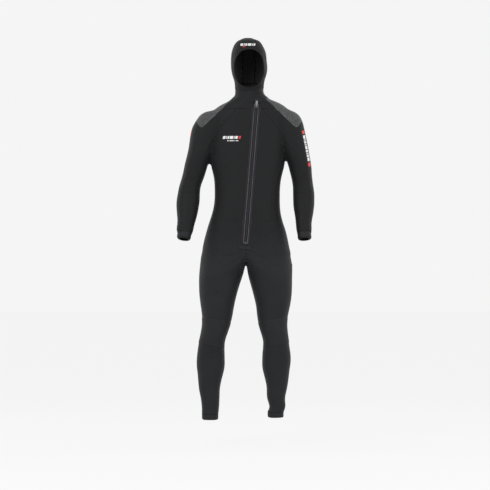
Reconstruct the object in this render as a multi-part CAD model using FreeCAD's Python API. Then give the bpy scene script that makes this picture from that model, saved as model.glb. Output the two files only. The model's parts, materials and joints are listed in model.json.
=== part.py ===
"""Full hooded wetsuit, hollow as it is worn, built panel by panel.

Millimetres.  +Z is up, the front faces -Y, +X is the wearer's left.  The origin is the
centre of the waist, where the wearer carries the suit.  The envelope of each tube (trunk,
arm, leg, hood) is a loft over girth stations, and a panel is the wall between the outer
and inner envelopes, cut to the outline of its pattern piece.
"""
import FreeCAD
import Part
import math
import os

V = FreeCAD.Vector

# Neoprene and seams
WALL = 6.0            # thickness of the foam and its jersey
SEAM = 0.4            # gap between the edges of two panels
PAD = 2.0             # thickness of a pad or patch glued on the outside
PAD_GAP = 0.3         # adhesive gap under it
BADGE = 0.9           # thickness of a printed transfer

# Levels along the body
TRUNK_BOTTOM = -255.0
PELVIS_TOP = -100.0
NECK_TOP = 457.0
ARMPIT = 160.0
FOREARM_END = -150.0
SHIN_END = {"right": -965.0, "left": -955.0}
CROTCH_PLANE = -4.5   # x of the seam between the two legs

# Zones that stretch when a joint bends: upper and lower level of each
ELBOW_ZONE = (142.0, 22.0)
KNEE_ZONE = (-490.0, -712.0)
HIP_ZONE_BOTTOM = -345.0
NECK_ZONE_BOTTOM = 452.0
HOOD_REACH = 125.0               # half depth of the space cut for the hood
HOOD_FAR = 200.0                 # x outside the hood
HOOD_TOP = 800.0                 # level above the hood
NECK_SLOPE = [(-HOOD_REACH, 461.0), (HOOD_REACH, 516.0)]   # chin seam seen from the side
COLLAR_BOTTOM = 405.0
BACK_SEAM = 60.0                 # level where the upper back meets the lower back
ARM_GAP = {"right": -168.5, "left": 176.5}   # x between the flank and the arm at the armpit
FLANK_WIDER = ((9.5, 60.0), (35.5, PELVIS_TOP))   # how far past that gap a flank reaches, by level
SPREAD = 10.0                    # length by which a back panel runs into its neighbour's cut
SLEEVE_FAR = 400.0               # x outside every sleeve
FOREARM_CLEAR = (35.0, -90.0)    # the forearm leaves the hip: step outwards and its level
CUFF_OVERRUN = 25.0              # room below the forearm's end for its leaning edge
YOKE_RISE = 22.0                 # how far a yoke runs past the neck line
YOKE_TOP = 520.0

# Cuffs: outer radius, bore radius of the seal inside, length
WRIST = (31.5, 26.5, 30.0)
ANKLE = {"right": (37.5, 32.0, 26.0), "left": (36.5, 31.0, 26.0)}
SEAL_WALL = 1.5

# Front zip, a straight chain between two points of the suit's front
ZIP_BOTTOM = V(-7.0, -106.4, -205.0)
ZIP_TOP = V(44.0, -84.0, 432.0)
TAPE_HALF = 21.0
TAPE_OUT = (-3.2, -1.4)      # inner and outer face, measured out of the suit
TOOTH_OUT = (-1.2, 1.4)
TOOTH_REACH = 5.4            # from the centre line to the outer end of a tooth
TOOTH_LONG = 3.6
TOOTH_PITCH = 9.0
SLIDER_HALF = 8.0
SLIDER_OUT = (1.8, 5.8)
SLIDER_LONG = 18.0
SLIDER_TOP = 8.0             # from the end of the zip down to the closed slider
PIN_OUT = 7.6
PIN_RADIUS = 0.9
PULL_LONG = 24.0
FLAP_HALF = 26.0             # half width of the flap behind the zip
FLAP_OUT = (-15.0, -12.0)

# Girth stations of the trunk: level, right edge, left edge, front, back
TRUNK = [
    (TRUNK_BOTTOM, -206, 197, -104, 126), (-215, -199, 191, -105, 128),
    (-180, -192, 184, -104, 124), (-137, -180, 173, -103, 115),
    (PELVIS_TOP, -168, 161, -102, 104), (-55, -154, 151, -101, 95), (0, -146, 148, -99, 90),
    (50, -145, 149, -97, 92), (100, -149, 156, -95, 98), (150, -161, 168, -93, 104),
    (200, -166, 173, -92, 108), (250, -168, 178, -91, 110), (300, -171, 183, -90, 110),
    (340, -172, 188, -88, 108), (375, -168, 194, -87, 104), (400, -150, 188, -86, 99),
    (415, -132, 175, -85, 95), (430, -105, 152, -84, 91), (443, -80, 121, -82, 87),
    (NECK_TOP, -63, 96, -78, 84),
]

# Girth stations of the neck and hood, same columns
HOOD = [
    (NECK_TOP, -63, 96, -78, 84), (470, -54, 81, -74, 80), (485, -53, 75, -72, 78),
    (505, -54, 76, -80, 80), (530, -57, 79, -94, 88), (560, -66, 88, -102, 98),
    (590, -71, 92, -105, 104), (625, -72, 89, -104, 107), (655, -70, 86, -98, 104),
    (680, -64, 77, -87, 95), (700, -54, 66, -72, 80), (715, -38, 50, -50, 60),
    (726, -14, 24, -18, 28),
]

# Girth stations of the arms: level, outer edge, inner edge, front, back
ARM = {
    "right": [
        (398, -178, -128, -25, 35), (390, -196, -120, -38, 48), (376, -214, -114, -50, 58),
        (358, -226, -110, -57, 64), (325, -244, -112, -62, 68), (280, -255, -122, -63, 68),
        (230, -263, -142, -62, 65), (185, -273, -163, -60, 62), (ARMPIT, -279, -173, -58, 61),
        (125, -286, -184, -54, 60), (90, -295, -196, -50, 60), (60, -304, -207, -49, 57),
        (30, -310, -211, -50, 52), (0, -315, -212, -53, 45), (-30, -317, -216, -59, 35),
        (-60, -315, -222, -65, 23), (-90, -312, -230, -71, 9), (-120, -313, -238, -77, -5),
        (FOREARM_END, -313, -246, -84, -19),
    ],
    "left": [
        (402, 196, 146, -25, 35), (394, 216, 136, -38, 48), (378, 236, 130, -50, 58),
        (358, 247, 127, -57, 64), (325, 257, 128, -62, 68), (280, 266, 136, -63, 68),
        (230, 277, 154, -62, 65), (185, 284, 175, -60, 62), (ARMPIT, 289, 184, -58, 61),
        (125, 292, 193, -54, 60), (90, 295, 202, -50, 60), (60, 299, 207, -49, 57),
        (30, 303, 208, -50, 52), (0, 304, 208, -53, 45), (-30, 303, 209, -59, 35),
        (-60, 299, 213, -65, 23), (-90, 293, 218, -71, 9), (-120, 290, 221, -77, -5),
        (FOREARM_END, 289, 225, -84, -19),
    ],
}

# Direction of each forearm, down to the hand
FOREARM_DIRECTION = {"right": V(-0.13, -0.30, -0.945), "left": V(0.06, -0.30, -0.952)}

# Girth stations of the legs: level, outer edge, inner edge, front, back
LEG = {
    "right": [
        (TRUNK_BOTTOM, -206, CROTCH_PLANE, -104, 126), (-280, -209, -6, -103, 118),
        (-300, -211, -9, -102, 110), (-345, -215, -20, -100, 97), (-405, -215, -39, -96, 90),
        (-480, -208, -58, -88, 80), (-550, -201, -71, -79, 68), (-600, -206, -88, -73, 62),
        (-640, -215, -100, -64, 66), (-680, -222, -101, -54, 78), (-720, -226, -99, -47, 86),
        (-760, -225, -101, -43, 87), (-800, -221, -111, -40, 78), (-850, -216, -122, -38, 60),
        (-900, -207, -124, -37, 46), (-950, -203, -127, -36, 39), (-965, -203, -128, -36, 38),
    ],
    "left": [
        (TRUNK_BOTTOM, 197, CROTCH_PLANE, -104, 126), (-280, 201, -3, -103, 118),
        (-300, 204, 0, -102, 110), (-345, 204, 7, -100, 97), (-405, 203, 23, -96, 90),
        (-480, 194, 41, -88, 80), (-550, 181, 50, -79, 68), (-600, 183, 64, -73, 62),
        (-640, 188, 74, -64, 66), (-680, 194, 72, -54, 78), (-720, 198, 69, -47, 86),
        (-760, 194, 70, -43, 87), (-800, 189, 79, -40, 78), (-850, 181, 89, -38, 60),
        (-900, 172, 93, -37, 46), (-955, 166, 93, -36, 39),
    ],
}
LEG_FAR = 300.0                  # x outside both legs
# Opening from one leg to the other above the crotch, in Y-Z
LEG_WINDOW = [(-97, -240), (-95, -264), (-70, -280), (70, -280), (106, -264), (118, -240)]
SIDE = {"right": -1.0, "left": 1.0}

# Pattern lines in the X-Z plane, given for the right side and mirrored for the left
SHOULDER_MIDDLE = 9.0
FLANK_MIDDLE = -3.0
RAGLAN = [(-53, COLLAR_BOTTOM), (-53, 394), (-121, 318), (-152, 272), (-152, ARMPIT)]
YOKE_LINE = [(-78, 439), (-207, 312), (-226, 343)]
FLANK_LINE = [(-152, ARMPIT), (-118, 30), (-112, -61), (-124, PELVIS_TOP)]
BRIEF_LINE = [(-222, -131), (-60, -222), (CROTCH_PLANE, -222)]
SLEEVE_SLOPE = 0.44              # rise of the sleeve seam from the armpit outwards

# Face opening: centre x and level, half width, half height
FACE = (9.0, 586.0, 70.0, 86.0)
FACE_BAND = 12.0
CROWN_HALF = 30.0                # half width of the hood's centre panel

# Outlines of what is glued or printed on the outside
CHEST_BADGE = [(-125, 284), (-26, 278), (-28, 254), (-125, 256)]
HOOD_BADGE = [(-45, 700), (28, 700), (28, 682), (-45, 682)]
CHIN_FLAP = [(38, 476), (70, 476), (74, 512), (62, 507), (40, 494)]
KNEE_PAD_LEVELS = (-540.0, -660.0)
KNEE_PAD_BACK = -18.0            # y at which a knee pad ends on the sides of the leg
ARM_BADGE = {
    "left": [(262, 330), (300, 330), (300, 235), (262, 235)],
    "right": [(-262, 312), (-246, 312), (-250, 282), (-262, 282)],
}
ARM_BADGE_BACK = 20.0            # y at which a mark ends on the outside of the arm
ZIP_GARAGE = [(33, 439), (66, 439), (66, 451), (33, 451)]
ZIP_PATCH = ((-27, 27), (0.5, 2.3), (-20, -6))    # spans in the zip's own frame


def mirrored(points, middle):
    """The same pattern line on the wearer's left."""
    return [(2 * middle - x, z) for x, z in points]


def quarter_power(value, power):
    """Signed power that turns a circle into a superellipse."""
    return math.copysign(abs(value) ** (2.0 / power), value)


def arc_edge(points):
    """Smooth edge through evenly parametrised points."""
    curve = Part.BSplineCurve()
    last = len(points) - 1
    curve.interpolate(Points=points, Parameters=[i / last for i in range(last + 1)])
    return curve.toShape()


def closed_wire(points):
    """Smooth closed wire through evenly parametrised points."""
    curve = Part.BSplineCurve()
    count = len(points)
    curve.interpolate(Points=points, PeriodicFlag=True, Parameters=[i / count for i in range(count + 1)])
    return Part.Wire(curve.toShape())


def oval_points(station, grow, power, tilt=(0.0, 0.0), count=24):
    """Points of one closed girth, grown by an offset; tilt lifts it by x and y."""
    z, edge_a, edge_b, front, back = station
    right = min(edge_a, edge_b) - grow
    left = max(edge_a, edge_b) + grow
    front, back = front - grow, back + grow
    centre_x, half_x = (right + left) / 2, (left - right) / 2
    centre_y, half_y = (front + back) / 2, (back - front) / 2
    points = []
    for i in range(count):
        angle = 2 * math.pi * i / count
        dx = half_x * quarter_power(math.cos(angle), power)
        dy = half_y * quarter_power(math.sin(angle), power)
        points.append(V(centre_x + dx, centre_y + dy, z + tilt[0] * dx + tilt[1] * dy))
    return points


def tube(stations, grow, power, tilts=None):
    """Solid loft through closed girths."""
    tilts = tilts or [(0.0, 0.0)] * len(stations)
    wires = [closed_wire(oval_points(s, grow, power, t)) for s, t in zip(stations, tilts)]
    return Part.makeLoft(wires, True, False)


def stretched(stations, grow):
    """Inner envelopes run 2 mm past both ends, so that the tube stays open."""
    if grow >= 0:
        return stations
    sign = 1 if stations[0][0] > stations[-1][0] else -1
    first = (stations[0][0] + 2 * sign,) + stations[0][1:]
    last = (stations[-1][0] - 2 * sign,) + stations[-1][1:]
    return [first] + stations[1:-1] + [last]


def trunk(grow):
    """Envelope from the hips to the neck base."""
    return tube(stretched(TRUNK, grow), grow, 2.4)


def hood(grow):
    """Envelope of the neck and hood; an inner one stays closed under the crown."""
    stations = list(HOOD)
    if grow < 0:
        stations[0] = (NECK_TOP - 2,) + HOOD[0][1:]
        stations[-1] = (HOOD[-1][0] + grow,) + HOOD[-1][1:]
        stations[-2] = (HOOD[-2][0] + grow * 0.8,) + HOOD[-2][1:]
    return tube(stations, grow, 2.15)


def arm(side, grow):
    """Envelope of an arm; its girths lean with the forearm below the elbow."""
    direction = FOREARM_DIRECTION[side]
    full = (-direction.x / direction.z, -direction.y / direction.z)
    tilts = []
    for station in ARM[side]:
        share = min(max((60.0 - station[0]) / (60.0 - FOREARM_END), 0.0), 1.0)
        tilts.append((full[0] * share, full[1] * share))
    stations = ARM[side]
    if grow < 0:
        stations = [(ARM[side][0][0] + grow,) + ARM[side][0][1:]] + ARM[side][1:-1]
        stations.append((FOREARM_END - 2,) + ARM[side][-1][1:])
    return tube(stations, grow, 2.1, tilts)


def leg_wire(station, side, grow):
    """One girth of a leg, as an outer and an inner half that meet front and back."""
    z, outer, inner, front, back = station
    sign = SIDE[side]
    outer += sign * grow
    inner -= sign * (grow - SEAM / 2)
    front, back = front - grow, back + grow
    share = min(max((z + 345.0) / 90.0, 0.0), 1.0)
    middle = (outer + inner) / 2 * (1 - share) + inner * share
    power = 2.2 + 0.2 * share
    centre_y, half_y = (front + back) / 2, (back - front) / 2
    halves = []
    for edge, start in ((outer, -1), (inner, 1)):
        points = []
        for i in range(13):
            angle = math.pi * i / 12
            dx = (edge - middle) * quarter_power(math.sin(angle), power)
            dy = start * half_y * quarter_power(math.cos(angle), power)
            points.append(V(middle + dx, centre_y + dy, z))
        points[0].x = points[-1].x = middle
        halves.append(arc_edge(points))
    return Part.Wire(halves)


def leg(side, grow):
    """Envelope of one leg with its half of the pelvis."""
    stations = stretched(LEG[side], grow)
    return Part.makeLoft([leg_wire(s, side, grow) for s in stations], True, False)


def leg_shell(side):
    """Wall of one leg, open to the other leg above the crotch."""
    corners = [V(-25, y, z) for y, z in LEG_WINDOW]
    window = Part.Face(Part.makePolygon(corners + corners[:1])).extrude(V(40, 0, 0))
    return leg(side, 0).cut(leg(side, -WALL)).cut(window)


def prism(points, low_y=-400.0, high_y=400.0, gap=SEAM / 2):
    """Pattern outline in X-Z, pulled in by half a seam, extruded along Y."""
    corners = [V(x, low_y, z) for x, z in points]
    outline = Part.Face(Part.makePolygon(corners + corners[:1]))
    if gap:
        outline = outline.makeOffset2D(-gap, 2)
    return outline.extrude(V(0, high_y - low_y, 0))


def band(high, low):
    """Horizontal slice of space between two levels, less half a seam at each."""
    return Part.makeBox(800, 800, high - low - SEAM, V(-400, -400, low + SEAM / 2))


def zip_box(across, out, along):
    """Box in the zip's own frame, from (low, high) spans."""
    corner = V(across[0], -out[1], along[0])
    box = Part.makeBox(across[1] - across[0], out[1] - out[0], along[1] - along[0], corner)
    box.Placement = ZIP_PLACE
    return box


def zip_rod(radius, half_length, out, along):
    """Cylinder lying across the zip."""
    rod = Part.makeCylinder(radius, 2 * half_length, V(-half_length, -out, along), V(1, 0, 0))
    rod.Placement = ZIP_PLACE
    return rod


def zip_frame():
    """Placement whose Z runs up the zip and whose -Y points out of the suit."""
    along = (ZIP_TOP - ZIP_BOTTOM).normalize()
    across = V(0, 1, 0).cross(along).normalize()
    inward = along.cross(across)
    return FreeCAD.Placement(ZIP_BOTTOM, FreeCAD.Rotation(across, inward, along, "ZXY"))


def solids(shape):
    """Real solids of a boolean result, without slivers."""
    return [s for s in shape.Solids if s.Volume > 5.0]


def save(name, *shapes):
    """Write one node made of one or more solids."""
    found = [s for shape in shapes for s in solids(shape)]
    whole = found[0] if len(found) == 1 else Part.makeCompound(found)
    whole.exportStep("parts/" + name + ".step")
    volume = sum(s.Volume for s in found) / 1000
    print(name, len(found), "solids", round(volume, 1), "cm3", all(s.isValid() for s in found))


def glued_pad(envelope, outline, thickness, low_y=-400.0, high_y=0.0):
    """Pad of even thickness that follows the outside of an envelope."""
    sheet = envelope(PAD_GAP + thickness).cut(envelope(PAD_GAP))
    return sheet.common(prism(outline, low_y, high_y))


def body_outline():
    """Outline of the trunk panels between the two raglan and flank seams."""
    right = RAGLAN + FLANK_LINE[1:]
    left = mirrored(RAGLAN, SHOULDER_MIDDLE)[:-1] + [LEFT_ARMPIT] + mirrored(FLANK_LINE, FLANK_MIDDLE)[1:]
    return right + left[::-1]


def yoke_prism(side, gap=SEAM / 2):
    """Space of a grey shoulder yoke: above its front line, inside its end."""
    line = YOKE_LINE if side == "right" else mirrored(YOKE_LINE, SHOULDER_MIDDLE)
    start, corner, end = line
    reach = [corner[i] + 4 * (end[i] - corner[i]) for i in (0, 1)]
    neck = (start[0] - SIDE[side] * YOKE_RISE, start[1] + YOKE_RISE)
    outline = [start, corner, reach, (reach[0], YOKE_TOP), (neck[0], YOKE_TOP), neck]
    return prism(outline, gap=gap)


def trunk_panels(shell):
    """Collar, fronts either side of the zip, backs, flanks, yokes."""
    neck = shell.common(band(NECK_ZONE_BOTTOM, COLLAR_BOTTOM))
    save("collar", neck.cut(yoke_prism("right", 0)).cut(yoke_prism("left", 0)).cut(ZIP_CHANNEL))
    middle = solids(shell.common(prism(body_outline())))
    for piece in middle:
        if piece.CenterOfMass.y > 0:
            save("upper_back", piece.common(band(COLLAR_BOTTOM + SPREAD, BACK_SEAM)))
            save("lower_back", piece.common(band(BACK_SEAM, PELVIS_TOP - SPREAD)))
        else:
            halves = sorted(solids(piece.cut(ZIP_CHANNEL)), key=lambda s: s.CenterOfMass.x)
            save("right_chest_panel", halves[0])
            save("left_chest_panel", halves[-1])
    for side, sign in SIDE.items():
        line = FLANK_LINE if side == "right" else [LEFT_ARMPIT] + mirrored(FLANK_LINE, FLANK_MIDDLE)[1:]
        edge = [(sign * (abs(ARM_GAP["right"]) + wider), level) for wider, level in FLANK_WIDER]
        outline = line + edge[::-1] + [(ARM_GAP[side], ARMPIT)]
        save(side + "_side_panel", shell.common(prism(outline)))
        save(side + "_shoulder_yoke", shell.common(yoke_prism(side)))


def sleeve(side, shell):
    """Sleeve head, upper sleeve, elbow, forearm, wrist cuff and its seal."""
    sign = SIDE[side]
    gap_x = ARM_GAP[side]
    line = RAGLAN if side == "right" else mirrored(RAGLAN, SHOULDER_MIDDLE)[:-1] + [LEFT_ARMPIT]
    far = sign * SLEEVE_FAR
    far_level = ARMPIT + SLEEVE_SLOPE * (abs(far) - abs(gap_x))
    head = line + [(gap_x, ARMPIT), (far, far_level), (far, COLLAR_BOTTOM)]
    save(side + "_sleeve_head", shell.common(prism(head)).cut(yoke_prism(side, 0)))
    high, low = ELBOW_ZONE
    upper = [(gap_x, high), (gap_x, ARMPIT), (far, far_level), (far, high)]
    save(side + "_upper_sleeve", shell.common(prism(upper)))
    save(side + "_elbow", shell.common(prism([(gap_x, high), (far, high), (far, low), (gap_x, low)])))
    near = gap_x + sign * FOREARM_CLEAR[0]
    below = FOREARM_END - CUFF_OVERRUN
    lower = [(gap_x, low), (far, low), (far, below), (near, below), (near, FOREARM_CLEAR[1])]
    save(side + "_forearm", shell.common(prism(lower)))
    end = ARM[side][-1]
    centre = V((end[1] + end[2]) / 2, (end[3] + end[4]) / 2, FOREARM_END)
    direction = V(FOREARM_DIRECTION[side]).normalize()
    ring_pair(side + "_wrist", centre + direction * SEAM, direction, WRIST)


def ring_pair(name, start, direction, sizes):
    """Cuff ring and the smooth seal that lines it."""
    outer, bore, length = sizes
    lined = bore + SEAL_WALL
    body = Part.makeCylinder(outer, length, start, direction)
    hole = Part.makeCylinder(lined + 0.2, length + 2, start - direction, direction)
    save(name + "_cuff", body.cut(hole))
    seal = Part.makeCylinder(lined, length, start, direction)
    passage = Part.makeCylinder(bore, length + 2, start - direction, direction)
    save(name + "_seal", seal.cut(passage))
    print(name, "bore from", [round(c, 2) for c in start], "to", [round(c, 2) for c in start + direction * length])


def trouser(side, trunk_shell):
    """Pelvis half, hip, thigh, knee with its pad, lower leg, ankle cuff and seal."""
    shell = leg_shell(side)
    far = SIDE[side] * LEG_FAR
    line = BRIEF_LINE if side == "right" else mirrored(BRIEF_LINE, CROTCH_PLANE)
    top = [(CROTCH_PLANE, PELVIS_TOP), (line[0][0], PELVIS_TOP)]
    save(side + "_pelvis", trunk_shell.common(prism(top + line)).cut(ZIP_CHANNEL))
    hip = line + [(CROTCH_PLANE, TRUNK_BOTTOM), (line[0][0], TRUNK_BOTTOM)]
    save(side + "_hip", trunk_shell.common(prism(hip)), shell.common(band(TRUNK_BOTTOM, HIP_ZONE_BOTTOM)))
    save(side + "_thigh", shell.common(band(HIP_ZONE_BOTTOM, KNEE_ZONE[0])))
    save(side + "_knee", shell.common(band(*KNEE_ZONE)))
    save(side + "_lower_leg", shell.common(band(KNEE_ZONE[1], SHIN_END[side] - 5)))
    high, low = KNEE_PAD_LEVELS
    outline = [(0, high), (far, high), (far, low), (0, low)]
    save(side + "_knee_pad", glued_pad(lambda grow: leg(side, grow), outline, PAD, high_y=KNEE_PAD_BACK))
    end = LEG[side][-1]
    centre = V((end[1] + end[2]) / 2, (end[3] + end[4]) / 2, SHIN_END[side] - SEAM)
    ring_pair(side + "_ankle", centre, V(0, 0, -1), ANKLE[side])


def face_outline(grow):
    """Rounded outline of the face opening in X-Z."""
    x, z, half_x, half_z = FACE
    points = []
    for i in range(16):
        angle = 2 * math.pi * i / 16
        dx = (half_x + grow) * quarter_power(math.cos(angle), 2.3)
        dz = (half_z + grow) * quarter_power(math.sin(angle), 2.3)
        points.append(V(x + dx, -300, z + dz))
    return Part.Face(closed_wire(points)).extrude(V(0, 265, 0))


def hood_panels():
    """Neck, hood sides, crown panel, face band, chin flap and badge."""
    shell = hood(0).cut(hood(-WALL))
    low = [(HOOD_REACH, NECK_ZONE_BOTTOM), (-HOOD_REACH, NECK_ZONE_BOTTOM)]
    save("neck", shell.common(side_prism(NECK_SLOPE + low)))
    upper = shell.common(side_prism(NECK_SLOPE + [(HOOD_REACH, HOOD_TOP), (-HOOD_REACH, HOOD_TOP)]))
    save("face_band", upper.common(face_outline(FACE_BAND - SEAM / 2)).cut(face_outline(0)))
    upper = upper.cut(face_outline(FACE_BAND + SEAM / 2))
    edges = [-HOOD_FAR, FACE[0] - CROWN_HALF, FACE[0] + CROWN_HALF, HOOD_FAR]
    for name, right, left in zip(("right_hood_side", "hood_crown", "left_hood_side"), edges, edges[1:]):
        outline = [(right, COLLAR_BOTTOM), (right, HOOD_TOP), (left, HOOD_TOP), (left, COLLAR_BOTTOM)]
        save(name, upper.common(prism(outline)))
    save("chin_flap", glued_pad(hood, CHIN_FLAP, PAD))
    save("hood_badge", glued_pad(hood, HOOD_BADGE, BADGE))


def side_prism(points):
    """Outline in Y-Z, pulled in by half a seam, extruded along X."""
    corners = [V(-300, y, z) for y, z in points]
    outline = Part.Face(Part.makePolygon(corners + corners[:1])).makeOffset2D(-SEAM / 2, 2)
    return outline.extrude(V(600, 0, 0))


def zip_fixed():
    """Tapes, teeth, stops, flap behind, patch below and garage above."""
    length = ZIP_LENGTH
    save("right_zip_tape", zip_box((-TAPE_HALF, -3), TAPE_OUT, (0, length)))
    save("left_zip_tape", zip_box((3, TAPE_HALF), TAPE_OUT, (0, length)))
    teeth = []
    count = int((length - 22) / TOOTH_PITCH)
    for i in range(count):
        along = 16 + i * TOOTH_PITCH
        half_step = along + TOOTH_PITCH / 2
        teeth.append(zip_box((-TOOTH_REACH, 1.5), TOOTH_OUT, (along, along + TOOTH_LONG)))
        teeth.append(zip_box((-1.5, TOOTH_REACH), TOOTH_OUT, (half_step, half_step + TOOTH_LONG)))
    save("zip_teeth", *teeth)
    save("zip_bottom_box", zip_box((-TOOTH_REACH, TOOTH_REACH), TOOTH_OUT, (3, 14)))
    save("zip_top_stops", *[zip_box(span, TOOTH_OUT, (length - 5, length - 1)) for span in ((-5, -1), (1, 5))])
    save("zip_underflap", zip_box((-FLAP_HALF, FLAP_HALF), FLAP_OUT, (5, length - 3)))
    save("zip_bottom_patch", zip_box(*ZIP_PATCH))
    save("zip_garage", glued_pad(trunk, ZIP_GARAGE, PAD))


def slider():
    """Slider with its lugs and pin, and the pull that turns on the pin."""
    top = ZIP_LENGTH - SLIDER_TOP
    bottom = top - SLIDER_LONG
    pin_along = bottom + SLIDER_LONG / 2
    plate = zip_box((-SLIDER_HALF, SLIDER_HALF), SLIDER_OUT, (bottom, top))
    parts = [zip_box(span, (-0.8, SLIDER_OUT[0] + 0.1), (bottom, top)) for span in ((-8, -6.5), (6.5, 8))]
    lug_along = (pin_along - 2.5, pin_along + 2.5)
    parts += [zip_box(span, (SLIDER_OUT[1] - 0.1, PIN_OUT + 2), lug_along) for span in ((-5, -2.6), (2.6, 5))]
    body = plate.fuse(parts).cut(zip_rod(PIN_RADIUS + 0.05, 6, PIN_OUT, pin_along))
    save("zip_slider", body)
    save("slider_pin", zip_rod(PIN_RADIUS, 5, PIN_OUT, pin_along))
    stem = zip_box((-2.2, 2.2), (PIN_OUT - 1.1, PIN_OUT + 1.1), (pin_along, pin_along + 6))
    grip = zip_box((-5, 5), (PIN_OUT - 1.1, PIN_OUT + 1.1), (pin_along + 6, pin_along + PULL_LONG))
    pull = stem.fuse([grip, zip_rod(1.6, 2.2, PIN_OUT, pin_along)])
    save("zip_pull", pull.cut(zip_rod(PIN_RADIUS + 0.15, 4, PIN_OUT, pin_along)))
    pivot = ZIP_PLACE.multVec(V(0, -PIN_OUT, pin_along))
    print("pull pivot", [round(c, 3) for c in pivot])


def badges():
    """Printed marks on the chest and the upper arms."""
    save("chest_badge", glued_pad(trunk, CHEST_BADGE, BADGE))
    for side, outline in ARM_BADGE.items():
        mark = glued_pad(lambda grow: arm(side, grow), outline, BADGE, high_y=ARM_BADGE_BACK)
        save(side + "_arm_badge", mark)


def main():
    """Write every node of the suit."""
    os.makedirs("parts", exist_ok=True)
    outside = trunk(0).fuse([arm("right", 0), arm("left", 0)])
    inside = trunk(-WALL).fuse([arm("right", -WALL), arm("left", -WALL)])
    shell = outside.cut(inside)
    trunk_panels(shell)
    for side in SIDE:
        sleeve(side, shell)
        trouser(side, shell)
    hood_panels()
    zip_fixed()
    slider()
    badges()


LEFT_ARMPIT = (2 * FLANK_MIDDLE - FLANK_LINE[0][0] + 6, ARMPIT)
ZIP_PLACE = zip_frame()
ZIP_LENGTH = (ZIP_TOP - ZIP_BOTTOM).Length
ZIP_CHANNEL = zip_box((-TAPE_HALF - SEAM, TAPE_HALF + SEAM), (-40, 40), (-2, ZIP_LENGTH + 3))
main()
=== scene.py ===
"""The looks of a full hooded wetsuit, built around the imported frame. Metres, +Z up, front at -Y."""

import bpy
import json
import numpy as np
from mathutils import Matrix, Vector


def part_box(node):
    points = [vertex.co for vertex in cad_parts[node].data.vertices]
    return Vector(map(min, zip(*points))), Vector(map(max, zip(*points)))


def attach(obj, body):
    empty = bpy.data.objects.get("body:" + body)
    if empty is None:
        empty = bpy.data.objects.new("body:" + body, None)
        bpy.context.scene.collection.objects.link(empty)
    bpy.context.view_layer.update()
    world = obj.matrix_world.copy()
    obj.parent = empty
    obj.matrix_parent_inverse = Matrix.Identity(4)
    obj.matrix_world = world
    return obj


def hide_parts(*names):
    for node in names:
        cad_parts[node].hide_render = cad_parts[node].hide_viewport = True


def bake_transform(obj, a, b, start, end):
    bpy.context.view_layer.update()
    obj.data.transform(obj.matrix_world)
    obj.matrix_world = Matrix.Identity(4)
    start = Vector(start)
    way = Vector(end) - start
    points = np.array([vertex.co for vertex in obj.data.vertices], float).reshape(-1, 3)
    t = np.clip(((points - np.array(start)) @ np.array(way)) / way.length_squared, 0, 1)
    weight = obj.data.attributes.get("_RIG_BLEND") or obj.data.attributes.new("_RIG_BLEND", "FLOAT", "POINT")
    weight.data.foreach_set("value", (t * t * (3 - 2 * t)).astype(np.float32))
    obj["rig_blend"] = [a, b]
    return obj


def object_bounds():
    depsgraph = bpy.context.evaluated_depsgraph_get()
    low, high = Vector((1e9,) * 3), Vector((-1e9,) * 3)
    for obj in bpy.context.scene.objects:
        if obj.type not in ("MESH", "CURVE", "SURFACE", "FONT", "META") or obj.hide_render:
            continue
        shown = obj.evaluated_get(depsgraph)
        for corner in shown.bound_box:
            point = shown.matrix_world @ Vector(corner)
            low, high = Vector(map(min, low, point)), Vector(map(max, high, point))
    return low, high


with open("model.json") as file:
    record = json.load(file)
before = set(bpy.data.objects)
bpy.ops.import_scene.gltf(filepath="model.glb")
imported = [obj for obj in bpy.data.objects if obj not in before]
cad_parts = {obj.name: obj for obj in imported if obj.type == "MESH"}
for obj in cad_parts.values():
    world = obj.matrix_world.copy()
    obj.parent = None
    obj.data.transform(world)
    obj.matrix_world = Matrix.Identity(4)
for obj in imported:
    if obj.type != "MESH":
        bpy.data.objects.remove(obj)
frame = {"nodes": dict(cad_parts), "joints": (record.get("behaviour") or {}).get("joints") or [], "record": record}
CAD_BOX = [list(corner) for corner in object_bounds()]

import json
import math

import bmesh
import bpy
import numpy as np
from mathutils import Matrix, Vector, noise
from mathutils.bvhtree import BVHTree

MM = 0.001
SIDES = {"right": -1, "left": 1}

# the skin
VOXEL = 5.0 * MM
INFLATE = 0.5 * MM
HOLE_REACH = 3.0 * MM
PLUG_BITE = 4.0 * MM
OPENING_REACH = 50.0 * MM
FACE_EDGE = 10.5 * MM
CHIN_STRIP = 30.0 * MM
CHIN_HALF = 55.0 * MM
FACE_POWER = 2.3
SMOOTH_ROUNDS = 6
CORE_STEP = 6.0 * MM
CORE_SIDES = 72
WALL = 5.5 * MM
LINING, RIM = 1, 2           # a panel's material numbers behind its outer one
CUFF_WALL = 2.6 * MM
EDGE_WIDTH = 1.5 * MM
EDGE_DEPTH = 0.9 * MM
BORDER_ROUNDS = 26
BORDER_RINGS = 4
EVEN_ROUNDS = 8
FADE_ROUNDS, FADE_SHARE = 4, 0.55
SHOULDER_REACH = 60.0 * MM
SHOULDER_STEP = 20.0 * MM
SHOULDER_ROUNDS = 30

# sewing
STITCH_STEP = 2.4 * MM
STITCH_REACH = 1.7 * MM
THREAD_RADIUS = 0.42 * MM
RIBBON_HALF = 2.2 * MM
SEAM_STEP = 3.0 * MM

# how far each stretch zone runs before and after its joint, along the limb
SLEEVE_ZONE = (-11 * MM, 42 * MM)
ELBOW_ZONE = (-35 * MM, 35 * MM)
HIP_ZONE = (-47 * MM, 113 * MM)
HIP_BEND = (-4 * MM, 118 * MM)
KNEE_ZONE = (-110 * MM, 110 * MM)
NECK_ZONE = (-22.7 * MM, 22.8 * MM)
THIGH_SEAM = 173 * MM
NECK_WAY = Vector((0, -0.2125, 0.977)).normalized()

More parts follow.
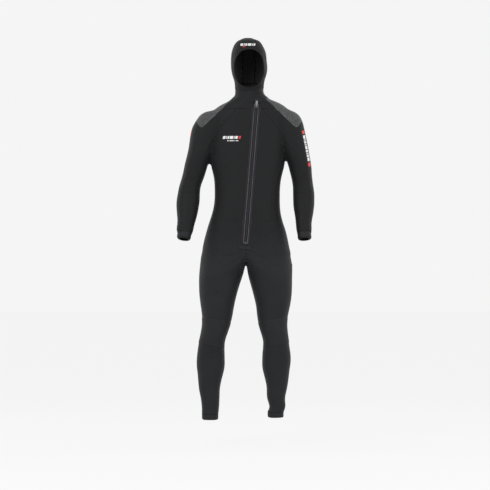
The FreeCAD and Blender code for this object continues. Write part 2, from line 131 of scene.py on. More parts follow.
JOINT = {j["name"]: j for j in frame["joints"]}
BODIES = frame["record"]["behaviour"]["bodies"]
SLOT = {p["node"]: p["material_slot"] for p in frame["record"]["subparts"]}
MOUNT = {m["name"]: m for m in frame["record"]["mounts"]}


def pivot(joint):
    return Vector(JOINT[joint]["pos_m"])


def middle(node):
    low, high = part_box(node)
    return (low + high) / 2


def limb_way(joint, side):
    """The direction along the limb at a joint, away from the trunk."""
    sign = SIDES[side]
    ways = {
        "shoulder_raise": Vector((0.7 * sign, 0, -0.714)),
        "elbow_bend": Vector((0, 0, -1)),
        "hip_bend": Vector((0.6 * sign, 0, -0.8)),
        "knee_bend": Vector((0, 0, -1)),
    }
    return ways[joint].normalized()


def zone(joint, way, reach):
    """The start and end points of a stretch zone around a joint."""
    at = pivot(joint)
    return at + way * reach[0], at + way * reach[1]


def new_object(name, data):
    obj = bpy.data.objects.new(name, data)
    bpy.context.scene.collection.objects.link(obj)
    return obj


def mesh_from(name, verts, faces):
    mesh = bpy.data.meshes.new(name)
    mesh.from_pydata([tuple(v) for v in verts], [], [tuple(f) for f in faces])
    mesh.update()
    return mesh


def applied(obj):
    """The object with its modifiers made permanent."""
    graph = bpy.context.evaluated_depsgraph_get()
    mesh = bpy.data.meshes.new_from_object(obj.evaluated_get(graph))
    obj.modifiers.clear()
    obj.data = mesh
    return obj


def rows_of(items, key, kind=float):
    """A property of three numbers for each of a mesh's items."""
    out = np.empty(len(items) * 3, dtype=kind)
    items.foreach_get(key, out)
    return out.reshape(-1, 3)


def coordinates(mesh):
    return rows_of(mesh.vertices, "co")


def normals(mesh):
    return rows_of(mesh.vertices, "normal")


def triangles(mesh):
    mesh.calc_loop_triangles()
    return rows_of(mesh.loop_triangles, "vertices", np.int64)


def smooth_shaded(mesh):
    mesh.polygons.foreach_set("use_smooth", [True] * len(mesh.polygons))


def welded(node):
    """A loose copy of a CAD node's mesh with its doubled points joined."""
    bm = bmesh.new()
    bm.from_mesh(frame["nodes"][node].data)
    bmesh.ops.remove_doubles(bm, verts=bm.verts, dist=0.01 * MM)
    mesh = bpy.data.meshes.new(node + "_copy")
    bm.to_mesh(mesh)
    bm.free()
    return mesh


# ---- the skin

# pieces whose shared border is a stretch zone's edge within one cut piece, with no sewing
PLAIN_BORDERS = {frozenset(pair) for pair in (
    ("sleeve", "elbow"), ("elbow", "forearm"), ("pelvis", "hip"), ("hip", "thigh"),
    ("thigh", "knee"), ("knee", "lower_leg"), ("collar", "neck"), ("chest_panel", "pelvis"),
    ("side_panel", "pelvis"), ("side_panel", "hip"),
)}
NOT_SKIN = {
    "zip_teeth", "zip_bottom_box", "zip_top_stops", "zip_underflap", "zip_bottom_patch",
    "zip_garage", "zip_slider", "slider_pin", "zip_pull", "chest_badge", "hood_badge", "chin_flap",
}
for side in SIDES:
    NOT_SKIN |= {side + tail for tail in ("_arm_badge", "_knee_pad", "_wrist_seal", "_ankle_seal")}
HOOD = ("face_band", "hood_crown", "right_hood_side", "left_hood_side")
SKIN_NODES = sorted(n for members in BODIES.values() for n in members if n not in NOT_SKIN)


def add_hull(bm, nodes, inward=0.0):
    """The closed hull round some CAD nodes, made deeper by a distance towards the back."""
    outline = [Vector(point) for node in nodes for point in coordinates(frame["nodes"][node].data)]
    points = [bm.verts.new(point + Vector((0, step, 0)))
              for step in {0.0, inward} for point in outline]
    hull = bmesh.ops.convex_hull(bm, input=points)
    inner = {v for v in hull["geom_interior"] + hull["geom_unused"]
             if isinstance(v, bmesh.types.BMVert)}
    bmesh.ops.delete(bm, geom=list(inner), context="VERTS")


def plugs():
    """Closed solids that fill the face, zip, wrist and ankle openings and the body itself."""
    bm = bmesh.new()
    add_hull(bm, ["face_band"])
    add_hull(bm, ["right_zip_tape", "left_zip_tape"], WALL)
    for side in SIDES:
        for limb in ("_wrist", "_ankle"):
            mount = MOUNT[side + limb + "_opening"]
            way = Vector(mount["axis"]).normalized()
            length = mount["dims"]["length_mm"] * MM
            radius = mount["dims"]["r_mm"] * MM + PLUG_BITE
            turn = way.to_track_quat("Z", "Y").to_matrix().to_4x4()
            place = Matrix.Translation(Vector(mount["pos_m"])) @ turn
            bmesh.ops.create_cone(bm, cap_ends=True, segments=48, radius1=radius, radius2=radius,
                                  depth=length, matrix=place)
    walls = tree_of(SKIN_NODES)
    for line in core_lines():
        add_core(bm, walls, line)
    mesh = bpy.data.meshes.new("plugs")
    bm.to_mesh(mesh)
    bm.free()
    return mesh


def merged(parts):
    """One mesh from several pairs of points and triangles."""
    verts, tris, base = [], [], 0
    for points, faces in parts:
        verts.append(points)
        tris.append(faces + base)
        base += len(points)
    return np.vstack(verts), np.vstack(tris)


def tree_of(nodes):
    """One search tree over the surfaces of some CAD nodes."""
    meshes = [frame["nodes"][node].data for node in nodes]
    verts, tris = merged((coordinates(mesh), triangles(mesh)) for mesh in meshes)
    return BVHTree.FromPolygons(verts.tolist(), tris.tolist())


def core_lines():
    """The middle lines of the trunk and limbs, from top to bottom."""
    nod = pivot("hood_nod")
    crotch = middle("left_pelvis").lerp(middle("right_pelvis"), 0.5)
    crown = Vector((nod.x, nod.y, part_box("hood_crown")[1].z - 2 * WALL))
    end = Vector((crotch.x, nod.y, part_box("right_pelvis")[0].z - 2 * WALL))
    lines = [[crown, nod, end]]
    for side in SIDES:
        top = middle(side + "_sleeve_head")
        shoulder, elbow = pivot(side + "_shoulder_raise"), pivot(side + "_elbow_bend")
        top = Vector((shoulder.x, shoulder.y, top.z + 2 * WALL))
        lines.append([top, shoulder, elbow, Vector(MOUNT[side + "_wrist_opening"]["pos_m"])])
        hip, knee = pivot(side + "_hip_bend"), pivot(side + "_knee_bend")
        lines.append([hip, knee, Vector(MOUNT[side + "_ankle_opening"]["pos_m"])])
    return lines


def add_core(bm, walls, line):
    """A solid that fills a limb to the middle of its wall, ring by ring down its middle line."""
    levels = np.arange(line[0].z, line[-1].z, -CORE_STEP)
    heights = [p.z for p in line][::-1]
    angles = np.linspace(0, 2 * math.pi, CORE_SIDES, endpoint=False)
    rings = []
    for z in levels:
        centre = Vector(np.interp(z, heights, [p[axis] for p in line][::-1]) for axis in range(3))
        reach = np.full(CORE_SIDES, np.nan)
        ways = [Vector((math.cos(angle), math.sin(angle), 0)) for angle in angles]
        for k, way in enumerate(ways):
            hit, _, _, distance = walls.ray_cast(centre, way)
            if hit is not None:
                reach[k] = distance + WALL / 2
        known = np.flatnonzero(~np.isnan(reach))
        if len(known) < CORE_SIDES / 3:
            continue
        reach = np.interp(np.arange(CORE_SIDES), known, reach[known], period=CORE_SIDES)
        reach = np.minimum(reach, np.minimum(np.roll(reach, 1), np.roll(reach, -1)) + 2 * WALL)
        rings.append([bm.verts.new(centre + way * r) for way, r in zip(ways, reach)])
    for upper, lower in zip(rings, rings[1:]):
        for k in range(CORE_SIDES):
            after = (k + 1) % CORE_SIDES
            bm.faces.new((upper[k], lower[k], lower[after], upper[after]))
    bm.faces.new(rings[0])
    bm.faces.new(rings[-1][::-1])


def quad_sides(quads):
    return np.vstack([quads[:, [k, (k + 1) % 4]] for k in range(4)])


def outer_shell(mesh):
    """Points and quads of the biggest closed shell in a remeshed lump."""
    co = coordinates(mesh)
    quads = np.array([p.vertices[:] for p in mesh.polygons if len(p.vertices) == 4])
    edges = quad_sides(quads)
    label = np.arange(len(co))
    while True:
        low = np.minimum(label[edges[:, 0]], label[edges[:, 1]])
        new = label.copy()
        np.minimum.at(new, edges[:, 0], low)
        np.minimum.at(new, edges[:, 1], low)
        new = new[new]
        if (new == label).all():
            break
        label = new
    spans = {k: np.ptp(co[label == k], axis=0).sum() for k in np.unique(label[quads[:, 0]])}
    best = max(spans, key=spans.get)
    quads = quads[label[quads[:, 0]] == best]
    used, packed = np.unique(quads, return_inverse=True)
    return co[used], packed.reshape(-1, 4)


def neighbours_mean(co, edges, count):
    total = np.zeros_like(co)
    for axis in range(3):
        for here, there in ((0, 1), (1, 0)):
            weights = co[edges[:, there], axis]
            total[:, axis] += np.bincount(edges[:, here], weights=weights, minlength=len(co))
    return total / np.maximum(count, 1)[:, None]


def unique_edges(quads):
    """Every edge once, with the two faces beside it."""
    ends = quad_sides(quads)
    ends.sort(axis=1)
    faces = np.tile(np.arange(len(quads)), 4)
    order = np.lexsort((ends[:, 1], ends[:, 0]))
    ends, faces = ends[order], faces[order]
    first = np.ones(len(ends), dtype=bool)
    first[1:] = (ends[1:] != ends[:-1]).any(axis=1)
    starts = np.flatnonzero(first)
    pairs = np.stack([faces[starts], faces[np.minimum(starts + 1, len(ends) - 1)]], axis=1)
    return ends[starts], pairs


def smoothed(co, edges, rounds):
    count = np.bincount(edges.ravel(), minlength=len(co))
    for _ in range(rounds):
        for share in (0.5, -0.52):
            co = co + share * (neighbours_mean(co, edges, count) - co)
    return co


def eased(co, edges, centre, reach, rounds):
    """The skin relaxed round a centre, to melt a hollow between two envelopes."""
    count = np.bincount(edges.ravel(), minlength=len(co))
    share = 0.5 * np.exp(-(np.linalg.norm(co - np.array(centre), axis=1) / reach) ** 4)[:, None]
    for _ in range(rounds):
        co = co + share * (neighbours_mean(co, edges, count) - co)
    return co


def nearest_nodes(co, names):
    """For each point, the index in names of the CAD node nearest to it, and how far that is."""
    tree = tree_of(names)
    sizes = [len(triangles(frame["nodes"][name].data)) for name in names]
    owner = np.repeat(np.arange(len(names)), sizes)
    hits = [tree.find_nearest(point) for point in co]
    return owner[[hit[2] for hit in hits]], np.array([hit[3] for hit in hits])


def along(co, joint, way):
    """How far each point lies past a joint, measured along a direction."""
    return (co - np.array(pivot(joint))) @ np.array(way)


def piece_labels(centres):
    """The piece that each face of the skin belongs to, after the stretch zones' own seams."""
    found, far = nearest_nodes(centres, SKIN_NODES)
    label = np.array(SKIN_NODES, dtype=object)[found]
    for side in SIDES:
        def own(*tails):
            return np.isin(label.astype(str), [side + tail for tail in tails])

        arm = own("_sleeve_head", "_upper_sleeve", "_elbow", "_forearm")
        leg = own("_pelvis", "_hip", "_thigh")
        past = along(centres, side + "_elbow_bend", limb_way("elbow_bend", side))
        label[own("_upper_sleeve", "_sleeve_head")] = side + "_sleeve"
        label[arm & (past < ELBOW_ZONE[0]) & own("_elbow", "_forearm")] = side + "_sleeve"
        label[arm & (past >= ELBOW_ZONE[0]) & (past < ELBOW_ZONE[1])] = side + "_elbow"
        label[arm & (past >= ELBOW_ZONE[1]) & own("_elbow")] = side + "_forearm"
        past = along(centres, side + "_hip_bend", limb_way("hip_bend", side))
        label[leg & (past < HIP_ZONE[0])] = side + "_pelvis"
        label[leg & (past >= HIP_ZONE[0]) & (past < THIGH_SEAM)] = side + "_hip"
        label[leg & (past >= THIGH_SEAM)] = side + "_thigh"
    head = np.isin(label.astype(str), ["collar", "neck", *HOOD])
    past = along(centres, "hood_nod", NECK_WAY)
    low, high = head & (past < NECK_ZONE[0]), head & (past > NECK_ZONE[1])
    label[low] = "collar"
    label[head & ~low & ~high] = "neck"
    lost = high & np.isin(label.astype(str), ["collar", "neck"])
    beside = np.where(centres[:, 0] < pivot("hood_nod").x, "right_hood_side", "left_hood_side")
    label[lost] = beside[lost]
    band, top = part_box("face_band")
    centre, half = (band + top) / 2, (top - band) / 2
    chin = high & (centres[:, 2] < band.z + CHIN_STRIP) & (centres[:, 1] < middle("neck").y)
    label[chin & (np.abs(centres[:, 0] - centre.x) < CHIN_HALF)] = "face_band"
    inside = np.zeros(len(centres), dtype=bool)
    for side in SIDES:
        for limb in ("_wrist", "_ankle"):
            mount = np.array(MOUNT[side + limb + "_opening"]["pos_m"])
            inside |= np.linalg.norm(centres - mount, axis=1) < OPENING_REACH
    across = np.abs(centres[:, 0] - centre.x) / (half.x - FACE_EDGE)
    upward = np.abs(centres[:, 2] - centre.z) / (half.z - FACE_EDGE)
    face = (across ** FACE_POWER + upward ** FACE_POWER < 1) & (centres[:, 1] < top.y)
    label[((far > HOLE_REACH) & inside) | face] = "hole"
    return label.astype(str)


def is_sewn(*pieces):
    """Whether the line between two pieces is a seam."""
    tails = {piece.removeprefix("right_").removeprefix("left_") for piece in pieces}
    return frozenset(tails) not in PLAIN_BORDERS


def sewn_borders(pairs, label):
    """The skin edges where two pieces meet in a visible seam or at an opening."""
    border = np.flatnonzero(label[pairs[:, 0]] != label[pairs[:, 1]])
    shown = [k for k in border if is_sewn(label[pairs[k, 0]], label[pairs[k, 1]])]
    return np.array(shown)


def tidied(label, pairs, quads_count):
    """Faces outvoted by three or more of their four neighbours take the neighbours' label."""
    names, code = np.unique(label, return_inverse=True)
    for _ in range(4):
        votes = np.zeros((quads_count, len(names)), dtype=np.int8)
        np.add.at(votes, (pairs[:, 0], code[pairs[:, 1]]), 1)
        np.add.at(votes, (pairs[:, 1], code[pairs[:, 0]]), 1)
        best = votes.argmax(axis=1)
        swap = votes.max(axis=1) >= 3
        code = np.where(swap, best, code)
    return names[code]


FRONT, BACK = (0, -1, 0), (0, 1, 0)
# Folds, in millimetres: the place, their middle from there, the direction across them, their
# spread, pitch and depth, the side they show on, and a seed. On a limb, x counts outwards.
LIMB_FOLDS = (
    ("_elbow_bend", (0, -20, 0), (0.25, 0, 1), (60, 80, 50), 21, 0.9, FRONT, 1.3),
    ("_elbow_bend", (0, 30, 0), (-0.3, 0, 1), (60, 60, 35), 16, 0.9, BACK, 2.3),
    ("_wrist_opening", (0, 10, 50), (0.1, 0, 1), (60, 60, 28), 13, 1.1, None, 3.1),
    ("_shoulder_raise", (-55, -40, 30), (0.8, 0, 0.6), (50, 60, 70), 21, 1.3, FRONT, 4.7),
    ("_shoulder_raise", (-55, 40, 30), (0.8, 0, 0.6), (50, 60, 70), 21, 1.9, BACK, 5.9),
    ("_hip_bend", (-45, -90, -45), (0.5, 0, 1), (60, 80, 50), 27, 1.5, FRONT, 6.1),
    ("_hip_bend", (0, 100, -90), (0.2, 0, 1), (80, 60, 30), 25, 1.6, BACK, 7.7),
    ("_knee_bend", (0, 60, 0), (0.12, 0, 1), (90, 60, 55), 21, 2.2, BACK, 8.3),
    ("_knee_bend", (0, -60, -75), (-0.3, 0, 1), (80, 60, 22), 16, 1.0, FRONT, 9.1),
    ("_ankle_opening", (0, 0, 55), (0.2, 0.1, 1), (90, 90, 34), 20, 0.4, None, 10.3),
)
TRUNK_FOLDS = (
    ("neck", (-40, -60, -20), (0.7, 0, 1), (50, 60, 35), 17, 1.4, (-0.4, -1, 0), 11.9),
    ("neck", (0, 70, -10), (0.1, 0, 1), (60, 50, 35), 19, 1.6, BACK, 12.7),
    ("crotch", (0, -60, -75), (0.1, 0, 1), (50, 90, 30), 22, 1.2, FRONT, 13.1),
)
FOLD_CUT, FOLD_BEND, FOLD_WANDER, VALLEY = 6, 0.9, 18, 1.7
UNEVEN = ((9, 40, 0.9 * MM), (24, 80, 0.35 * MM))     # scale, shift and height of the broad waves


def wander(co, scale, shift):
    shift = Vector(shift)
    return np.array([noise.noise(Vector(point) * scale + shift) for point in co])


def fold(co, normal, centre, across, spread, pitch, depth, facing, seed):
    """Lifts in rounded swells with narrow valleys between them, fading away from a centre."""
    rel = co - centre
    fade = ((rel / (np.array(spread) * MM)) ** 2).sum(axis=1)
    near = fade < FOLD_CUT
    bend = wander(co[near], FOLD_WANDER, (seed, 0, 0)) * FOLD_BEND
    phase = (rel[near] @ across) / np.linalg.norm(across) / (pitch * MM) + bend
    lift = np.zeros(len(co))
    shape = 1 - VALLEY * (1 - np.abs(np.sin(np.pi * phase))) ** 2
    lift[near] = depth * MM * np.exp(-fade[near]) * shape
    if facing is not None:
        lift *= np.clip(normal @ np.array(facing) * 1.6 + 0.3, 0, 1)
    return lift


def wrinkled(co, normal):
    """Folds where the limbs bend and hems gather, and a faint unevenness everywhere."""
    places = {"neck": pivot("hood_nod"),
              "crotch": (middle("right_pelvis") + middle("left_pelvis")) / 2}
    lift = np.zeros(len(co))
    for place, offset, across, *rest in TRUNK_FOLDS:
        centre = np.array(places[place]) + np.array(offset) * MM
        lift += fold(co, normal, centre, np.array(across), *rest)
    for side, sign in SIDES.items():
        outwards = np.array((sign, 1, 1))
        for place, offset, across, *rest in LIMB_FOLDS:
            where = JOINT.get(side + place) or MOUNT.get(side + place)
            centre = np.array(where["pos_m"]) + np.array(offset) * MM * outwards
            lift += fold(co, normal, centre, np.array(across) * outwards, *rest)
    return lift + sum(height * wander(co, scale, (0, shift, 0)) for scale, shift, height in UNEVEN)


ZIP_WAY = -Vector(JOINT["zip_slide"]["axis"]).normalized()
ZIP_FRONT = (Vector((0, -1, 0)) - ZIP_WAY * ZIP_WAY.dot(Vector((0, -1, 0)))).normalized()
ZIP_SIDE = ZIP_WAY.cross(ZIP_FRONT).normalized()
ZIP_MIDDLE = middle("zip_teeth")
# half width held flat along the zip, the run beside it, and how far behind it counts
ZIP_FLAT, ZIP_EASE, ZIP_BEHIND = 22 * MM, 20 * MM, 50 * MM
TAPE_REACH, TAPE_SINK = 19.5 * MM, 1.7 * MM


def zip_offsets(co):
    """Points' sideways and outward distances from the zip, and which lie in front beside it."""
    at = co - np.array(ZIP_MIDDLE)
    aside, out, run = at @ np.array(ZIP_SIDE), at @ np.array(ZIP_FRONT), at @ np.array(ZIP_WAY)
    low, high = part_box("right_zip_tape")
    return np.abs(aside), out, (out > -ZIP_BEHIND) & (np.abs(run) < (high.z - low.z) / 2)


def held_by_zip(co):
    """0 along the zip, where the fabric can't fold, rising to 1 past its tapes."""
    aside, _, beside = zip_offsets(co)
    return np.where(beside, np.clip((aside - ZIP_FLAT) / ZIP_EASE, 0, 1), 1)


def build_skin():
    """The suit's closed outer skin as points, quads and the piece of each quad."""
    parts = []
    for node in SKIN_NODES:
        mesh = welded(node)
        parts.append((coordinates(mesh) + INFLATE * normals(mesh), triangles(mesh)))
        bpy.data.meshes.remove(mesh)
    mesh = plugs()
    parts.append((coordinates(mesh), triangles(mesh)))
    lump = new_object("lump", mesh_from("lump", *merged(parts)))
    remesh = lump.modifiers.new("even", "REMESH")
    remesh.mode = "VOXEL"
    remesh.voxel_size = VOXEL
    applied(lump)
    co, quads = outer_shell(lump.data)
    bpy.data.objects.remove(lump)
    edges, pairs = unique_edges(quads)
    co = smoothed(co, edges, SMOOTH_ROUNDS)
    for side, sign in SIDES.items():
        yoke = middle(side + "_shoulder_yoke")
        centre = yoke + Vector((sign, 0, 1)) * SHOULDER_STEP
        co = eased(co, edges, centre, SHOULDER_REACH, SHOULDER_ROUNDS)
    label = piece_labels(co[quads].mean(axis=1))
    label = tidied(label, pairs, len(quads))
    co = straight_borders(co, quads, edges, pairs, label)
    normal = normals(mesh_from("skin", co, quads))
    co = co + normal * (wrinkled(co, normal) * held_by_zip(co) - INFLATE)[:, None]
    aside, out, beside = zip_offsets(co)
    sink = np.where(beside & (aside < TAPE_REACH), np.minimum(-TAPE_SINK - out, 0), 0)
    co = co + sink[:, None] * np.array(ZIP_FRONT)
    return co, quads, edges, pairs, label


def straight_borders(co, quads, edges, pairs, label):
    """Seam lines drawn smooth across the skin, with the points beside them evened out."""
    start = BVHTree.FromPolygons(co.tolist(), quads.tolist())
    border = label[pairs[:, 0]] != label[pairs[:, 1]]
    seam = edges[border]
    on_seam = np.zeros(len(co), dtype=bool)
    on_seam[seam.ravel()] = True
    seam_count = np.bincount(seam.ravel(), minlength=len(co))
    count = np.bincount(edges.ravel(), minlength=len(co))
    for _ in range(BORDER_ROUNDS):
        mean = neighbours_mean(co, seam, seam_count)
        co = np.where(on_seam[:, None], 0.5 * co + 0.5 * mean, co)
    near = on_seam.copy()
    for _ in range(BORDER_RINGS):
        grown = near.copy()
        grown[edges[near[edges[:, 0]], 1]] = True
        grown[edges[near[edges[:, 1]], 0]] = True
        near = grown
    free = near & ~on_seam
    for _ in range(EVEN_ROUNDS):
        mean = neighbours_mean(co, edges, count)
        co = np.where(free[:, None], 0.5 * co + 0.5 * mean, co)
    for k in np.flatnonzero(near):
        co[k] = start.find_nearest(co[k])[0]
    return co


CO, QUADS, EDGES, PAIRS, LABEL = build_skin()
SKIN_TREE = BVHTree.FromPolygons(CO.tolist(), QUADS[LABEL != "hole"].tolist())


# ---- materials

class Look:
    """A procedural material being built: its node tree, and the kinds of node used here."""

    def __init__(self, name, turn=(0, 0, 0), **sockets):
        self.mat = bpy.data.materials.new(name)
        self.mat.use_nodes = True
        self.tree = self.mat.node_tree
        self.shader = self.tree.nodes["Principled BSDF"]
        for socket, value in sockets.items():
            self.shader.inputs[socket.replace("_", " ")].default_value = value
        place = self.node("ShaderNodeTexCoord", "Object")
        self.at = self.node("ShaderNodeMapping", "Vector", {"Vector": place, "Rotation": turn})

    def node(self, kind, output, inputs=(), **settings):
        """Adds a node, sets or links its inputs, and gives one of its outputs."""
        node = self.tree.nodes.new(kind)
        for key, value in settings.items():
            setattr(node, key, value)
        for socket, value in dict(inputs).items():
            if isinstance(value, bpy.types.NodeSocket):
                self.tree.links.new(value, node.inputs[socket])
            else:
                node.inputs[socket].default_value = value
        return node.outputs[output]

    def noise(self, scale, detail=3.0):
        return self.node("ShaderNodeTexNoise", "Fac", {
            "Vector": self.at, "Scale": scale, "Detail": detail, "Roughness": 0.55})

    def bands(self, direction, pitch, warp=0.0):
        return self.node("ShaderNodeTexWave", "Fac", {
            "Vector": self.at, "Scale": WAVES / pitch, "Distortion": warp},
            bands_direction=direction)

    def edge(self):
        return self.node("ShaderNodeAttribute", "Fac", attribute_name="edge")

    def maths(self, operation, a, b, clamp=False):
        return self.node("ShaderNodeMath", 0, {0: a, 1: b}, operation=operation, use_clamp=clamp)

    def mix(self, *shares, plus=None):
        """The sum of values times their weights, and of one constant."""
        terms = [self.maths("MULTIPLY", value, weight) for value, weight in shares]
        total = terms[0]
        for term in terms[1:] + ([] if plus is None else [plus]):
            total = self.maths("ADD", total, term)
        return total

    def ramp(self, factor, *stops):
        """Colours at rising values of a factor."""
        node = self.tree.nodes.new("ShaderNodeValToRGB")
        elements = node.color_ramp.elements
        while len(elements) < len(stops):
            elements.new(0.5)
        for element, (place, colour) in zip(elements, stops):
            element.position, element.color = place, (*colour, 1)
        self.tree.links.new(factor, node.inputs["Fac"])
        return node.outputs["Color"]

    def done(self, colour, rough, height, strength, distance):
        """Joins the colour, the roughness and a bump to the shader."""
        bump = self.node("ShaderNodeBump", "Normal", {
            "Height": height, "Strength": strength, "Distance": distance})
        for socket, value in (("Base Color", colour), ("Roughness", rough), ("Normal", bump)):
            self.tree.links.new(value, self.shader.inputs[socket])
        return self.mat


def scaled(colour, factor):
    return tuple(c * factor for c in colour)


def jersey(name, colour, pitch=0.9 * MM, rough=0.60, sheen=0.03, paler_by=1.0, spec=0.13,
           top_shade=1.0):
    """Knitted nylon bonded to foam: fine ribs and courses, soft blotches, and paler edges that are a painted
    highlight along the seams.
    """
    look = Look(name, Sheen_Weight=sheen, Sheen_Roughness=0.45, Specular_IOR_Level=spec,
                Sheen_Tint=(0.75, 0.78, 0.85, 1))
    knit = look.maths("MULTIPLY", look.bands("X", pitch, 0.4), look.bands("Z", pitch * 0.8, 0.6))
    blotch = look.noise(7.0, 4.0)
    # Painted highlight along the seams: near them the jersey colour is made paler, mottled by a noise.
    seam_highlight_mask = look.maths("POWER", look.edge(), 2.0)
    painted_seam_highlight = look.maths("MULTIPLY", seam_highlight_mask, look.noise(60.0, 4.0))
    fleck = look.noise(420.0, 2.0)
    tone = look.mix((blotch, 0.62), (fleck, 0.26), (knit, 0.12), (painted_seam_highlight, 0.22 * paler_by))
    dark, light = scaled(colour, 0.72), scaled(colour, 1.45)
    shade = look.ramp(tone, (0.18, dark), (0.5, colour), (0.85, light))
    if top_shade < 1:
        level = look.node("ShaderNodeSeparateXYZ", "Z", {0: look.at})
        share = look.node("ShaderNodeMapRange", "Result", {
            "Value": level, "From Min": SHADE_LEVELS[0], "From Max": SHADE_LEVELS[1],
            "To Min": 1.0, "To Max": top_shade}, interpolation_type="SMOOTHSTEP")
        shade = look.node("ShaderNodeVectorMath", 0, {0: shade, "Scale": share}, operation="SCALE")
    height = look.mix((knit, 0.55), (look.noise(150.0), 0.45))
    return look.done(shade, look.mix((blotch, 0.22), plus=rough - 0.11), height, 0.32, 0.35 * MM)


def dotted(name, turn):
    """Jersey with a field of raised pale dots, laid square to the slope of the shoulder."""
    look = Look(name, turn, Sheen_Weight=0.06, Sheen_Roughness=0.5, Specular_IOR_Level=0.25)
    distance = look.node("ShaderNodeTexVoronoi", "Distance", {
        "Vector": look.at, "Scale": 1 / DOT_PITCH, "Randomness": 0.8}, voronoi_dimensions="3D")
    spot = look.maths("SUBTRACT", 1.0, look.maths("MULTIPLY", distance, 2.3), clamp=True)
    # The edge share is a painted highlight: the grey is made slightly paler near the seams.
    tone = look.mix((spot, 0.62), (look.noise(9.0, 4.0), 0.3), (look.edge(), 0.08))
    shade = look.ramp(tone, (0.15, scaled(GREY, 0.55)), (0.42, GREY), (0.8, GREY_DOT))
    height = look.mix((spot, 1.0), (look.noise(300.0, 2.0), 0.25))
    return look.done(shade, look.mix((spot, -0.22), plus=0.72), height, 0.5, 0.5 * MM)


def moulded(name, colour, rough=0.5, grain=900.0, spec=0.45, metallic=0.0, paler_by=0.3):
    """Moulded rubber, plastic or coated metal with a fine grain and rubbed high spots."""
    look = Look(name, Specular_IOR_Level=spec, Metallic=metallic)
    fine, broad = look.noise(grain), look.noise(35.0, 4.0)
    tone = look.mix((broad, 0.7), (fine, 0.3))
    dark, light = scaled(colour, 0.75), scaled(colour, 1 + paler_by)
    shade = look.ramp(tone, (0.25, dark), (0.55, colour), (0.85, light))
    return look.done(shade, look.mix((broad, 0.25), plus=rough - 0.12), fine, 0.25, 0.12 * MM)


def woven(name, colour, pitch=0.8 * MM):
    """Tightly woven tape: crossing threads with a slight shine."""
    look = Look(name, Sheen_Weight=0.03, Specular_IOR_Level=0.16)
    warp = look.maths("MULTIPLY", look.bands("X", pitch), 0.85)
    cloth = look.maths("MAXIMUM", warp, look.bands("Z", pitch))
    broad = look.noise(25.0)
    dark, light = scaled(colour, 0.6), scaled(colour, 1.5)
    tone = look.mix((cloth, 0.5), (broad, 0.45))
    shade = look.ramp(tone, (0.2, dark), (0.6, colour), (0.95, light))
    return look.done(shade, look.mix((broad, 0.2), plus=0.5), cloth, 0.5, 0.25 * MM)


WAVES = 0.314                     # a wave texture's own pitch in metres, at scale 1
YOKE_TURN = math.radians(41)
DOT_PITCH = 5.2 * MM
SHADE_LEVELS = (-0.32, -0.10)     # between these the legs' charcoal runs into the trunk's black
BLACK, CHARCOAL = (0.0080, 0.0083, 0.0090), (0.0122, 0.0129, 0.0140)
GREY, GREY_DOT = (0.075, 0.076, 0.078), (0.230, 0.232, 0.236)
MATERIALS = {
    "neoprene_black": jersey("black_jersey", BLACK),
    "neoprene_charcoal": jersey("charcoal_jersey", CHARCOAL, rough=0.62, sheen=0.05,
                                top_shade=0.66),
    "lining": jersey("plush_lining", (0.018, 0.018, 0.020), pitch=1.6 * MM, rough=0.8,
                     sheen=0.3, paler_by=0.0),
    "yoke_grey_right": dotted("grey_dots_right", (0, -YOKE_TURN, 0)),
    "yoke_grey_left": dotted("grey_dots_left", (0, YOKE_TURN, 0)),
    "zip_tape": woven("zip_tape", (0.0125, 0.0112, 0.0150)),
    "pad_rubber": moulded("pad_rubber", (0.0120, 0.0126, 0.0136), 0.60, 500.0, 0.17),
    "seal_smoothskin": moulded("smooth_skin", (0.008, 0.008, 0.009), 0.42, 1200.0, 0.15),
    "cut_foam": moulded("cut_foam", (0.012, 0.012, 0.013), 0.8, 700.0, 0.1),
    "zip_tooth": moulded("zip_teeth", (0.012, 0.012, 0.014), 0.35, 1500.0),
    "zip_metal": moulded("zip_metal", (0.060, 0.060, 0.064), 0.36, 1500.0, metallic=0.7),
    "pull_grey": moulded("pull_grey", (0.17, 0.17, 0.18), 0.5, 1200.0),
    "print_white": moulded("white_print", (0.62, 0.62, 0.62), 0.55, 700.0, paler_by=0.15),
    "print_red": moulded("red_print", (0.50, 0.022, 0.022), 0.55, 700.0, paler_by=0.15),
    "thread": moulded("dark_thread", (0.016, 0.0165, 0.018), 0.6, 1800.0),
    "pale_thread": moulded("pale_thread", (0.20, 0.20, 0.22), 0.6, 1800.0),
}


# ---- how pieces move

MOTION = {}
for side in SIDES:
    arm, forearm, leg, shin = (side + tail for tail in (
        "_upper_arm", "_lower_arm", "_upper_leg", "_shin"))
    for tail, upper, lower, joint, reach in (
            ("_sleeve", "torso", arm, "shoulder_raise", SLEEVE_ZONE),
            ("_elbow", arm, forearm, "elbow_bend", ELBOW_ZONE),
            ("_hip", "torso", leg, "hip_bend", HIP_BEND),
            ("_knee", leg, shin, "knee_bend", KNEE_ZONE)):
        ends = zone(side + "_" + joint, limb_way(joint, side), reach)
        MOTION[side + tail] = (upper, lower, *ends)
    for tail, body in (("_forearm", forearm), ("_wrist_cuff", forearm), ("_thigh", leg),
                       ("_lower_leg", shin), ("_ankle_cuff", shin)):
        MOTION[side + tail] = (body,)
MOTION["neck"] = ("torso", "hood", *zone("hood_nod", NECK_WAY, NECK_ZONE))
for piece in HOOD:
    MOTION[piece] = ("hood",)


def moves_with(obj, motion):
    """Rides on one body, or bends between two."""
    if len(motion) == 1:
        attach(obj, motion[0])
    else:
        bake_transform(obj, *motion)
    return obj


def motion_of(piece):
    return MOTION.get(piece, ("torso",))


# ---- panels

SUNK = np.zeros(len(CO))
SUNK[EDGES[sewn_borders(PAIRS, LABEL)].ravel()] = 1.0


